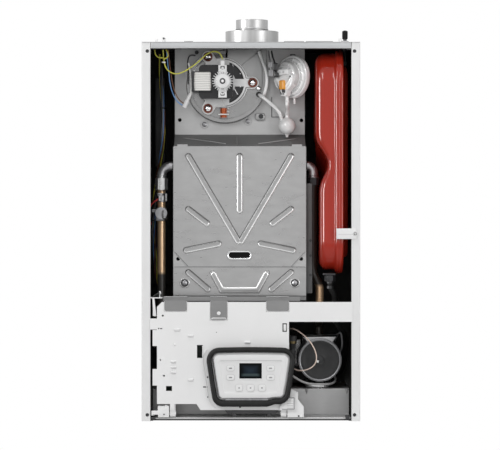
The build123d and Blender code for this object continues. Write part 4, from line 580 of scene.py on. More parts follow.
def lit_glass(name):
    """A display behind glass: slate blue in the middle, black at the edges, lighter in its lower part; the
    lighter middle and band are painted light.
    """
    material, tree, shader, place = node_tree(name)
    split = tree.nodes.new("ShaderNodeSeparateXYZ")
    tree.links.new(place, split.inputs["Vector"])
    (left, right), (low, high) = DISPLAY
    reach = []
    for axis, start, end in (("X", left, right), ("Z", low, high)):
        middle, half = (start + end) / 2 * MM, (end - start) / 2 * MM
        away = calculate(tree, "ABSOLUTE", calculate(tree, "SUBTRACT", split.outputs[axis], middle))
        reach.append(calculate(tree, "DIVIDE", away, half))
    edge = calculate(tree, "MAXIMUM", *reach)
    glow = ramp(tree, edge, [(0.1, (0.018, 0.027, 0.038)), (0.5, (0.010, 0.015, 0.022)),
                             (0.75, (0.003, 0.004, 0.005)), (1.0, grey(0.001))])
    band_share = calculate(tree, "MULTIPLY", between(tree, place, "Z", low + 5, low + 8, 2.0),
                           spread(tree, edge, 1.0, 0.0, 0.55, 0.9))
    cloud = noise(tree, place, 90.0)
    light = ramp(tree, cloud, [(0.3, (0.045, 0.062, 0.066)), (0.7, (0.055, 0.075, 0.078))])
    coat(tree, shader, blend_colours(tree, band_share, glow, light), spread(tree, cloud, 0.06, 0.14))
    shader.inputs["Specular IOR Level"].default_value = 0.08
    return material


def circuit(name):
    """A green board with darker copper tracks between its holes."""
    material, tree, shader, place = node_tree(name)
    brick_lines = tree.nodes.new("ShaderNodeTexBrick")
    brick_lines.inputs["Scale"].default_value = 120.0
    brick_lines.inputs["Color1"].default_value = (0.006, 0.03, 0.014, 1)
    brick_lines.inputs["Color2"].default_value = (0.008, 0.04, 0.018, 1)
    brick_lines.inputs["Mortar"].default_value = (0.02, 0.07, 0.03, 1)
    tree.links.new(place, brick_lines.inputs["Vector"])
    coat(tree, shader, brick_lines.outputs["Color"], spread(tree, noise(tree, place, 50.0), 0.3, 0.5))
    return material


def make_finishes(colours):
    """Every finish of the boiler, by name."""
    white, plastic = tuple(colours.enamel), tuple(colours.plastic)
    red, steel, inside = tuple(colours.vessel), tuple(colours.zinc), tuple(colours.inside)
    return {
        "casing": casing_paint("casing enamel", white, inside),
        "inside": surface("dark inside tone", inside, 0.6, variation=0.35, grain=12.0, specular=0.2),
        "zinc": sheet_metal("zinc sheet", steel),
        "zinc_dark": sheet_metal("zinc sheet in shade", toned(steel, -0.35), 0.45),
        "cover": sheet_metal("pressed cover sheet", toned(steel, -0.1), 0.3, 0.65),
        "rib": sheet_metal("pressed rib", toned(steel, -0.14), 0.34, 0.85, grey(1.0)),
        "tab": sheet_metal("tab sheet", toned(steel, -0.47), 0.5, 0.4),
        "bar": surface("light bar", (0.52, 0.53, 0.54), 0.45, variation=0.08, stretch=(0.3, 1, 6)),
        "roof": sheet_metal("shaded roof sheet", toned(steel, -0.5), 0.5, 0.6),
        "volute": surface("pressed volute", grey(0.31), 0.28, 0.75, 0.22, 9.0, grain_depth=0.05),
        # shade: painted shade in holes, slots, gaps and under lips, and a few dark parts
        "shade": surface("painted shade and dark parts", (0.05, 0.05, 0.052), 0.6, variation=0.25),
        "rail": surface("dark rail", (0.085, 0.085, 0.086), 0.5, variation=0.3, grain=14.0),
        "milky": surface("milky moulding", grey(0.86), 0.28, variation=0.04, grain=40.0, grain_depth=0.05,
                         varnish=0.3),
        "frosted": see_through("frosted drum", grey(0.90), 0.2, 0.3),
        "plug_grey": surface("grey plug and painted shade", (0.30, 0.30, 0.31), 0.4, variation=0.25, grain=120.0),
        "capillary": surface("bare capillary", (0.82, 0.66, 0.57), 0.35, 0.2, 0.12, 60.0),
        "chrome_sheet": surface("bright sheet edge", (0.86, 0.87, 0.88), 0.2, 1.0, 0.05, 30.0),
        "aluminium": surface("drawn aluminium", grey(0.41), 0.4, 0.65, 0.25, 45.0, (1, 1, 0.015), 300.0),
        "cast": surface("die-cast aluminium", grey(0.58), 0.42, 0.9, 0.10, 40.0, grain_depth=0.2),
        "ring": surface("pump ring", (0.30, 0.30, 0.31), 0.4, 0.9, 0.12, 40.0, grain_depth=0.2),
        "steel": surface("turned steel", grey(0.66), 0.3, 0.85, 0.1, 50.0, grain_depth=0.08),
        "dull_steel": surface("dull steel and painted shade", (0.36, 0.36, 0.37), 0.42, 0.9, 0.18, 40.0),
        "pale_edge": surface("painted highlight edge", grey(0.78), 0.42, 0.1, 0.05, 30.0),
        "chrome": surface("bright screw", (0.88, 0.88, 0.89), 0.12, 1.0, 0.05, 80.0, grain_depth=0.04),
        "copper": worn_copper("copper fins", (0.72, 0.45, 0.27), (0.30, 0.17, 0.10), "X", -136, 94,
                              (0.50, 0.50, 0.51), 0.85),
        # outside their limits the flow and return pipes take a near-black tone: painted shade
        "flow_copper": worn_copper("flow pipe", (0.80, 0.56, 0.35), (0.45, 0.29, 0.17), "Z", 272, 420,
                                   (0.05, 0.046, 0.042)),
        "return_copper": worn_copper("return pipe", (0.74, 0.50, 0.31), (0.40, 0.26, 0.15), "Z", 214, 243,
                                     (0.035, 0.027, 0.021)),
        "bay": surface("dark moulding in the bay", (0.05, 0.05, 0.051), 0.55, variation=0.3, specular=0.3),
        "winding": surface("enamelled copper winding", (0.52, 0.13, 0.05), 0.32, 0.6, 0.3, 300.0),
        "brass": surface("brass", (0.70, 0.52, 0.22), 0.3, 1.0, 0.15, 30.0),
        "old_brass": surface("tarnished brass", (0.20, 0.155, 0.075), 0.42, 0.9, 0.25, 60.0),
        "red": surface("vessel paint", red, 0.16, 0.0, 0.05, 8.0, fine=220.0, grain_depth=0.02,
                       gloss_variation=0.04, specular=0.4),
        "plastic": surface("white moulding", plastic, 0.42, variation=0.02, grain=12.0, fine=1400.0,
                           grain_depth=0.06),
        "fascia": surface("fascia moulding", toned(plastic, -0.09), 0.36, variation=0.02, grain=12.0,
                          fine=1400.0, grain_depth=0.05),
        "key": surface("button moulding", toned(plastic, -0.03), 0.35, variation=0.015, fine=1400.0,
                       grain_depth=0.04),
        "outline": surface("grey outline and painted shade", grey(0.48), 0.5, variation=0.1),
        "pale_line": surface("pale line", grey(0.60), 0.5, variation=0.08),
        "soft_mark": surface("button mark", grey(0.24), 0.5, variation=0.3),
        "pale_wire": surface("pale grey sleeve", grey(0.45), 0.35, variation=0.1),
        "black": surface("black moulding", (0.016, 0.016, 0.018), 0.42, variation=0.4, grain=30.0),
        "rubber": surface("black rubber", grey(0.009), 0.6, variation=0.35, grain=40.0, grain_depth=0.2,
                          specular=0.22),
        "grommet": surface("red-brown rubber", (0.20, 0.045, 0.022), 0.5, variation=0.25, grain=60.0),
        "face": surface("pump label", (0.020, 0.020, 0.021), 0.4, variation=0.3, grain=60.0, specular=0.4),
        "iron": surface("dark painted iron and painted shade", (0.035, 0.035, 0.038), 0.5, 0.2, 0.3, 50.0, grain_depth=0.5),
        "lamination": laminated("motor laminations", (0.025, 0.025, 0.027)),
        "tape": wound_tape("wound tape", (0.80, 0.79, 0.76)),
        "clear": see_through("clear tube", grey(0.97), 0.06, 0.2),
        "silicone": surface("white silicone", grey(0.92), 0.38, variation=0.05, specular=0.6),
        "glass": surface("dark glass", grey(0.006), 0.1, variation=0.3, grain_depth=0.01, specular=0.08),
        "display": lit_glass("display"),
        "orange": surface("orange cap", (0.86, 0.36, 0.03), 0.35, variation=0.06),
        "board": circuit("circuit board"),
        "red_knob": surface("red knob", (0.55, 0.03, 0.02), 0.35, variation=0.1),
        "blue_knob": surface("blue knob", (0.03, 0.10, 0.42), 0.35, variation=0.1),
        "earth": striped_sleeve("earth sleeve", (0.82, 0.72, 0.08), (0.20, 0.42, 0.08), 0.94),
        "blue_wire": surface("blue sleeve", (0.16, 0.34, 0.66), 0.4, variation=0.1),
        "brown_wire": surface("brown sleeve", (0.17, 0.07, 0.035), 0.4, variation=0.15),
        "red_wire": surface("red sleeve", (0.60, 0.05, 0.05), 0.4, variation=0.1),
        "black_wire": surface("black sleeve", (0.02, 0.02, 0.022), 0.38, variation=0.3),
        "grey_wire": surface("grey sleeve", (0.22, 0.22, 0.23), 0.4, variation=0.1),
        "white_wire": surface("white sleeve", (0.80, 0.80, 0.78), 0.42, variation=0.05),
    }


NODE_FINISHES = {
    "casing": ["side_panel_left", "side_panel_right", "top_panel"],
    "inside": ["back_panel"],
    "zinc": ["fan_plate", "bottom_tray", "chamber_walls"],
    "volute": ["fan_volute"],
    "roof": ["hood"],
    "cover": ["chamber_cover_upper", "chamber_cover_lower"],
    "tab": ["cross_member"],
    "aluminium": ["flue_tube", "air_collar"],
    "cast": ["motor_plate", "gas_valve"],
    "steel": ["screws", "bearing_bridge", "fan_rotor", "fan_impeller", "burner", "electrodes",
              "plate_exchanger", "diverter_spindle", "pump_rotor"],
    "grommet": ["fan_grommets"],
    "lamination": ["motor_stack"],
    "tape": ["motor_coil"],
    "plastic": ["pressure_switch", "control_cover", "vessel_clip", "fascia", "box_brackets", "control_base"],
    "key": [f"button_{number}" for number in range(1, 8)],
    "clear": ["sensing_tubes"],
    "glass": ["sight_glass"],
    "copper": ["heat_exchanger"],
    "flow_copper": ["flow_pipe"],
    "return_copper": ["return_pipe"],
    "red": ["expansion_vessel"],
    "rubber": ["vessel_hose", "fascia_gasket"],
    "black": ["diverter_motor", "vessel_fittings"],
    "dull_steel": ["pump_motor", "pipe_sensors"],
    "iron": ["pump_housing"],
    "bay": ["hydraulic_block"],
    "red_knob": ["relief_knob"],
    "blue_knob": ["filling_tap"],
    "board": ["main_board", "display_board"],
    "black_wire": ["wiring_loom"],
}


# ------------------------------------------------------------------ stage

CAMERA_DISTANCE = 4400.0
MILLIMETRES_PER_PIXEL = 1.829
PHOTO_WIDTH, PHOTO_HEIGHT = 500, 450
CAMERA_X, CAMERA_Z = -1.7, 358.9
SENSOR = 36.0


def backdrop(name, level):
    """A plain matt surface of one grey."""
    material, _, shader, _ = node_tree(name)
    shader.inputs["Base Color"].default_value = (*grey(level), 1)
    shader.inputs["Roughness"].default_value = 0.9
    return material


def make_world():
    """Even light from all round; the camera, glossy and clear rays see white."""
    world = bpy.data.worlds.new("studio")
    bpy.context.scene.world = world
    world.use_nodes = True
    tree = world.node_tree
    tree.nodes.clear()
    path = tree.nodes.new("ShaderNodeLightPath")
    seen = calculate(tree, "MAXIMUM", path.outputs["Is Camera Ray"], path.outputs["Is Transmission Ray"])
    seen = calculate(tree, "MAXIMUM", seen, path.outputs["Is Glossy Ray"])
    white = tree.nodes.new("ShaderNodeBackground")
    white.inputs["Color"].default_value = (1, 1, 1, 1)
    even = tree.nodes.new("ShaderNodeBackground")
    even.inputs["Color"].default_value = (1, 1, 1, 1)
    even.inputs["Strength"].default_value = 0.5
    mix = tree.nodes.new("ShaderNodeMixShader")
    output = tree.nodes.new("ShaderNodeOutputWorld")
    tree.links.new(seen, mix.inputs["Fac"])
    tree.links.new(even.outputs["Background"], mix.inputs[1])
    tree.links.new(white.outputs["Background"], mix.inputs[2])
    tree.links.new(mix.outputs["Shader"], output.inputs["Surface"])


def lamp(name, place, target, size, power, highlight=False):
    """A soft upright lamp that looks at a point; places and (width, height) are metres, power is watts.

    A highlight lamp shows in glossy surfaces alone.
    """
    light = bpy.data.lights.new(name, "AREA")
    light.shape = "RECTANGLE"
    light.size, light.size_y = size
    light.energy = power
    holder = bpy.data.objects.new(name, light)
    bpy.context.scene.collection.objects.link(holder)
    holder.location = place
    way = Vector(target) - Vector(place)
    holder.rotation_euler = way.to_track_quat("-Z", "Y").to_euler()
    holder.visible_diffuse = not highlight


def colour(name, description, default):
    """A colour setting."""
    return bpy.props.FloatVectorProperty(name=name, description=description, subtype="COLOR", default=default,
                                         min=0, max=1)


class BoilerColours(bpy.types.PropertyGroup):
    """Main colours of the boiler."""

    enamel: colour("Casing enamel", "Outside of the casing", (0.765, 0.765, 0.765))
    plastic: colour("White mouldings", "Control box and fascia", (0.805, 0.805, 0.805))
    vessel: colour("Vessel paint", "Expansion vessel", (0.365, 0.022, 0.010))
    zinc: colour("Zinc", "Galvanised sheet", (0.42, 0.42, 0.42))
    inside: colour("Inside tone", "Inner faces of the casing", (0.055, 0.054, 0.053))


def length(name, description, default, low, high):
    """A length setting in metres."""
    return bpy.props.FloatProperty(name=name, description=description, default=default, min=low, max=high,
                                   subtype="DISTANCE", unit="LENGTH")


class BoilerSizes(bpy.types.PropertyGroup):
    """Sizes of the added detail."""

    rib_width: length("Rib width", "Width of the cover's ribs at their foot", 0.0112, 0.010, 0.014)
    rib_height: length("Rib height", "How far the cover's ribs stand out", 0.0031, 0.0022, 0.005)
    volute_edge: length("Volute edge", "Radius of the fan volute's round edge", 0.009, 0.004, 0.012)
    gasket_width: length("Gasket width", "Width of the rubber ring round the panel", 0.0088, 0.007, 0.0095)
    key_line: length("Button line", "Width of the line round each button", 0.0007, 0.0003, 0.0012)
    loom_reach: length("Loom reach", "Distance of the wires from the middle of the loom", 0.0026, 0.002,
                       0.004)


class BOILER_OT_stage(bpy.types.Operator):
    """Sets the camera at the photograph's place and adds the floor, the lamps and the world."""

    bl_idname = "boiler.stage"
    bl_label = "Stage"

    def execute(self, context):
        camera = bpy.data.cameras.new("camera")
        camera.sensor_width = SENSOR
        camera.lens = CAMERA_DISTANCE / MILLIMETRES_PER_PIXEL * SENSOR / PHOTO_WIDTH
        camera.clip_end = 50
        holder = bpy.data.objects.new("camera", camera)
        context.scene.collection.objects.link(holder)
        holder.location = (CAMERA_X * MM, -(CAMERA_DISTANCE + CASING_DEPTH) * MM, CAMERA_Z * MM)
        holder.rotation_euler = (np.pi / 2, 0, 0)
        context.scene.camera = holder
        context.scene.view_settings.view_transform = "Standard"
        floor_mesh = bpy.data.meshes.new("floor")
        reach, level = 6.0, -0.9
        corners = [(x * reach, y * reach, level) for x, y in ((-1, -1), (1, -1), (1, 1), (-1, 1))]
        floor_mesh.from_pydata(corners, [], [(0, 1, 2, 3)])
        floor = bpy.data.objects.new("floor", floor_mesh)
        context.scene.collection.objects.link(floor)
        floor.data.materials.append(backdrop("floor", 0.86))
        make_world()
        middle = (0, -0.2, 0.35)
        lamp("key lamp", (-1.6, -3.2, 2.0), middle, (0.8, 1.2), 34)
        lamp("fill lamp", (1.9, -3.0, 0.8), middle, (0.45, 1.7), 18)
        lamp("top lamp", (-0.3, -0.9, 2.5), middle, (1.4, 0.5), 13)
        lamp("left strip lamp", (-2.7, -1.4, 0.65), middle, (0.5, 1.2), 70, True)
        lamp("right strip lamp", (2.3, -2.3, 0.65), middle, (0.3, 1.2), 22, True)
        return {"FINISHED"}


class BOILER_OT_finishes(bpy.types.Operator):
    """Gives every carried node its own finish."""

    bl_idname = "boiler.finishes"
    bl_label = "Finishes"

    def execute(self, context):
        FINISHES.update(make_finishes(context.scene.boiler_colours))
        for finish, names in NODE_FINISHES.items():
            for name in names:
                materials = NODES[name].data.materials
                materials.clear()
                materials.append(FINISHES[finish])
        return {"FINISHED"}


# ------------------------------------------------------------------ casing

def front_x(pixel, depth=CASING_DEPTH):
    """X in millimetres of a column of the photograph, at this distance from the wall."""
    return CAMERA_X + (pixel - PHOTO_WIDTH / 2) * pixel_size(depth)


def front_z(pixel, depth=CASING_DEPTH):
    """Z in millimetres of a row of the photograph, at this distance from the wall."""
    return CAMERA_Z + (PHOTO_HEIGHT / 2 - pixel) * pixel_size(depth)


def pixel_size(depth):
    """Millimetres per pixel: it grows in proportion to the distance from the camera."""
    return MILLIMETRES_PER_PIXEL * (CAMERA_DISTANCE + CASING_DEPTH - depth) / CAMERA_DISTANCE


def frame_brick(name, columns, rows, back, front, edge, finish, body=CHASSIS):
    """A rounded block that covers these columns and rows of the photograph at its front."""
    low = (front_x(columns[0], front), -front, front_z(rows[1], front))
    high = (front_x(columns[1], front), -back, front_z(rows[0], front))
    return brick(name, low, high, edge, finish, body)


class BOILER_OT_casing(bpy.types.Operator):
    """Adds the light top bar, the lid's embossings and hooks, the dark linings, the blocks and the feet."""

    bl_idname = "boiler.casing"
    bl_label = "Casing trim"

    def execute(self, context):
        slab("top_bar", rectangle(-182.5, 182.5, 683.2, 692.6, 0.8), CASING_DEPTH - 0.2, CASING_DEPTH + 0.9,
             0.4, "bar")
        slab("top_bar_shadow", rectangle(-183, 183, 681, 683.2, 0.3), CASING_DEPTH - 8, CASING_DEPTH - 0.8,
             0.3, "black")
        lid_edge = rectangle(-CASING_WIDTH / 2 + 0.5, CASING_WIDTH / 2 - 0.5, 693, 694, 0.3)
        slab("lid_edge", lid_edge, CASING_DEPTH - 0.5, CASING_DEPTH + 1.2, 0.3, "zinc")
        for number, (left, right) in enumerate(((184, 193), (284, 304), (306, 333)), 1):
            low = (front_x(left), -CASING_DEPTH + 3, CASING_HEIGHT - 0.3)
            high = (front_x(right), -CASING_DEPTH + 26, CASING_HEIGHT + 1.6)
            brick(f"lid_embossing_{number}", low, high, 0.8, "zinc_dark")
        for number, (left, right, top) in enumerate(
                ((155, 158, 39), (162, 166, 37.5), (338.5, 341.5, 38.5)), 1):
            low = (front_x(left, 262), -268, CASING_HEIGHT - 0.4)
            high = (front_x(right, 262), -262, front_z(top, 262))
            brick(f"lid_hook_{number}", low, high, 1.2, "plastic")
        knob = (front_x(163.8, 266), -268, front_z(38.5, 266))
        turned("lid_hook_screw", knob, TOWARDS, [(1, -1), (1.8, -0.8), (1.8, 1.2), (1.2, 1.6), (0.3, 1.7)],
               "black", 20)
        frame_brick("left_lining", (151.6, 171.2), (57, 285), 0.6, 14, 1.2, "inside")
        for side, edge in (("left", -198.6), ("right", 178.6)):
            brick(f"floor_strip_{side}", (edge, -276, 0.4), (edge + 20, -6, 3), 0.8, "inside")
        frame_brick("corner_block_left", (150.9, 156.5), (45.6, 48.4), 262, 279, 0.6, "black")
        frame_brick("corner_block_right", (347, 350.8), (46.4, 49.8), 262, 279, 0.6, "black")
        frame_brick("foot_left", (151.2, 155.4), (417, 419.8), 255, 279, 0.8, "black")
        frame_brick("foot_right", (345.6, 349.6), (416, 419.9), 255, 279, 0.8, "black")
        rim = [(3.3, -1.2), (3.3, 0.05), (3.9, 0.28), (4.6, 0.28), (4.9, 0), (4.9, -1.2)]
        stop = [(0.3, -4), (5.2, -4), (5.2, -1.1), (0.3, -1.1)]
        for x, z, corner in ((-189.5, 11.5, "left_low"), (189.5, 11.5, "right_low"),
                             (-189.5, 677, "left_high"), (189.5, 677, "right_high")):
            turned(f"cover_hole_rim_{corner}", (x, -CASING_DEPTH, z), TOWARDS, rim, "casing", 32, loop=True)
            turned(f"cover_hole_nut_{corner}", (x, -CASING_DEPTH, z), TOWARDS, stop, "black", 28)
        cup = [(0.4, 1.2), (8.4, 1.2), (8.4, 2.2), (6.6, 4.8), (0.4, 4.8)]
        for name, x in (("hook_cup_left", -150), ("hook_cup_right", 150)):
            turned(name, (x, 0, 660), TOWARDS, cup, "inside", 40)
        return {"FINISHED"}


# ------------------------------------------------------------------ flue

FLUE = (2, -140, 0)


class BOILER_OT_flue(bpy.types.Operator):
    """Adds the flue's rolled rims, its seam and the collar's gasket."""

    bl_idname = "boiler.flue"
    bl_label = "Flue trim"

    def execute(self, context):
        for name, radius, height in (("flue_rim", 29.4, 744.2), ("collar_rim", 49.4, 722.3)):
            beaded(name, FLUE, UP, radius, height, 0.8, "aluminium", 12, 96)
        turn = np.linspace(-np.pi / 2, np.pi / 2, 8)
        bead = [(30 + 0.9 * np.cos(a), 727.5 + 1.6 * np.sin(a)) for a in turn] + [
            (29.9, 729.1), (29.9, 725.9)]
        turned("flue_bead", FLUE, UP, bead, "aluminium", 96, loop=True)
        gasket = [(46, 694.2), (61, 694.2), (61.8, 695.2), (61.8, 696.2), (61, 697), (50.2, 697),
                  (50.2, 695.8), (46, 695.8)]
        turned("collar_gasket", FLUE, UP, gasket, "rubber", 96, loop=True)
        head = [(4.2, 0), (4.2, 0.9), (3.4, 2), (1.6, 2.5), (0.3, 2.55)]
        for number in range(4):
            angle = np.pi / 4 + number * np.pi / 2
            place = (FLUE[0] + 55.5 * np.cos(angle), FLUE[1] + 55.5 * np.sin(angle), 697)
            turned(f"collar_screw_{number + 1}", place, UP, head, "chrome", 24)
        slab("flue_lug", rectangle(5, 10, 720.5, 724, 0.6), 168.9, 170.9, 0.4, "aluminium")
        return {"FINISHED"}


# ------------------------------------------------------------------ fan

FAN = (-52.4, 624.6)
SCROLL_START, SCROLL_END, SCROLL_TOP, SCROLL_FACE = 60, 80.6, 687, 182
LOBE_REACH = 55.5
RIM_SAMPLES, RIM_POINTS = 2881, 420


def scroll_outline(reach):
    """The fan's spiral: the radius grows evenly, anticlockwise from the top, then it runs straight up."""
    angle = np.radians(np.linspace(90, 360, 91))
    radius = SCROLL_START + (SCROLL_END - SCROLL_START) * np.linspace(0, 1, 91) + reach
    spiral = np.stack([FAN[0] + radius * np.cos(angle), FAN[1] + radius * np.sin(angle)], 1)
    right = FAN[0] + SCROLL_END + reach
    outlet = np.stack([np.linspace(right, right, 12), np.linspace(FAN[1] + 5, SCROLL_TOP - 2, 12)], 1)
    return np.vstack([spiral, outlet])


def volute_skin(edge):
    """The volute's pressed front: the spiral outline rises in a wide round edge and runs flat to a round eye.

    The outlet runs past the top and is then cut off level there, so that no edge is rounded under the roof.
    """
    outline = scroll_outline(0.3)
    over = np.stack([np.linspace(outline[-1, 0], outline[0, 0], 14)[1:-1], np.full(12, SCROLL_TOP + 14)], 1)
    outline = np.vstack([outline, [[outline[-1, 0], SCROLL_TOP + 14]], over, [
        [outline[0, 0], SCROLL_TOP + 14]]])
    front = [facing(inset(outline, step), depth) for step, depth in round_edge(edge, SCROLL_FACE + 0.4, 7)]
    around = np.arctan2(outline[:, 1] - FAN[1], outline[:, 0] - FAN[0])
    eye = np.stack([FAN[0] + 16.5 * np.cos(around), FAN[1] + 16.5 * np.sin(around)], 1)
    middle = inset(outline, edge) * 0.5 + eye * 0.5
    rings = [facing(outline, SCROLL_FACE - 16)] + front
    rings += [facing(middle, SCROLL_FACE + 0.4), facing(eye, SCROLL_FACE + 0.4),
              facing(eye, SCROLL_FACE + 0.1), facing(middle, SCROLL_FACE + 0.1),
              facing(inset(outline, edge), SCROLL_FACE + 0.1), facing(inset(outline, 0.2), SCROLL_FACE - 9),
              facing(inset(outline, 0.2), SCROLL_FACE - 16)]
    rings = np.asarray(rings)
    rings[..., 2] = np.minimum(rings[..., 2], SCROLL_TOP)
    return shell("volute_skin", rings, "volute", loop=True)


def plate_reach(turn, grow=0):
    """Radius of the motor plate's rim by angle: a disc of 47 mm and three round lobes, smoothly joined."""
    nearest = (turn + np.pi / 3) % (2 * np.pi / 3) - np.pi / 3
    across = LOBE_REACH * np.sin(nearest)
    lobe = 11.5 + grow
    nose = LOBE_REACH * np.cos(nearest) + np.sqrt(np.clip(lobe**2 - across**2, 0, None))
    side = lobe / np.maximum(np.abs(np.sin(nearest)), 1e-3)
    spoke = np.where(np.abs(nearest) < np.arctan2(lobe, LOBE_REACH), nose, side)
    return np.logaddexp(spoke * 0.9, (47 + grow) * 0.9) / 0.9


def cross_screw(name, place, radius, finish="chrome"):
    """A domed screw head with a cross recess: the dome sinks along two bars through its middle."""
    count, rows = 48, 9
    turn = full_turn(count)
    share = np.linspace(1, 0.02, rows)[:, None]
    x, y = radius * share * np.cos(turn), radius * share * np.sin(turn)
    dome = 0.5 * radius * (1 - 0.75 * share**2) * np.ones(count)
    bar = np.minimum(np.abs(x), np.abs(y)) < 0.16 * radius
    dome = np.where(bar & (np.hypot(x, y) < 0.6 * radius), dome - 0.22 * radius, dome)
    axis, across, over = square_to(TOWARDS)
    disc = np.asarray(place) + x[..., None] * across + y[..., None] * over
    return shell(name, np.concatenate([disc[:1] - 0.02 * axis, disc + dome[..., None] * axis]), finish,
                 sharp=50)


def coil_body():
    """The taped coil: a rounded block along Z whose sides swell and carry one ripple for each wrap."""
    height = np.linspace(-17, 17, 90)
    swell = 1.2 * np.sqrt(np.clip(1 - (height / 17.6)**2, 0, 1)) + 0.14 * np.abs(np.sin(height * 1.25)) - 1.2
    left, right = -105.4, -73.6
    back, front = 193.5, 233.5
    rings = []
    for z, reach in zip(height, swell):
        outline = rectangle(left - reach, right + reach, -front - reach, -back + reach, 5, 6)
        rings.append(np.stack([outline[:, 0], outline[:, 1], np.full(len(outline), FAN[1] + z)], 1))
    return shell("coil_tape", rings, "tape", sharp=70)


def choke():
    """The small choke: a copper winding of close turns between two end rings, with a white bar across."""
    middle = (-51.1, -188, 568)
    height = np.linspace(-9.5, 9.5, 115)
    winding = np.stack([6 + 0.35 * np.abs(np.sin(height * 2.6)), height], 1)
    turned("choke_winding", middle, UP, np.vstack([[(1, -9.5)], winding, [(1, 9.5)]]), "winding", 32,
           sharp=80)
    for name, level in (("choke_ring_top", 9.6), ("choke_ring_low", -9.6)):
        turned(name, middle, UP, belted(1.5, 7.6, level, 0.7, 0.3), "plug_grey", 32)
    for number, level in enumerate((577.2, 571), 1):
        rod(f"choke_pin_{number}", (-45.6, -188, level), (-40.6, -189, level - 0.6), 1.2, "white_wire", 10)
    brick("choke_bar", (-61.5, -196.2, 564), (-41, -194, 566.4), 0.9, "white_wire")
    wire("choke_wire", [(-51, -192, 577), (-51.5, -194, 584), (-53, -200, 590), (-53.5, -214, 594)], 0.5,
         "white_wire")


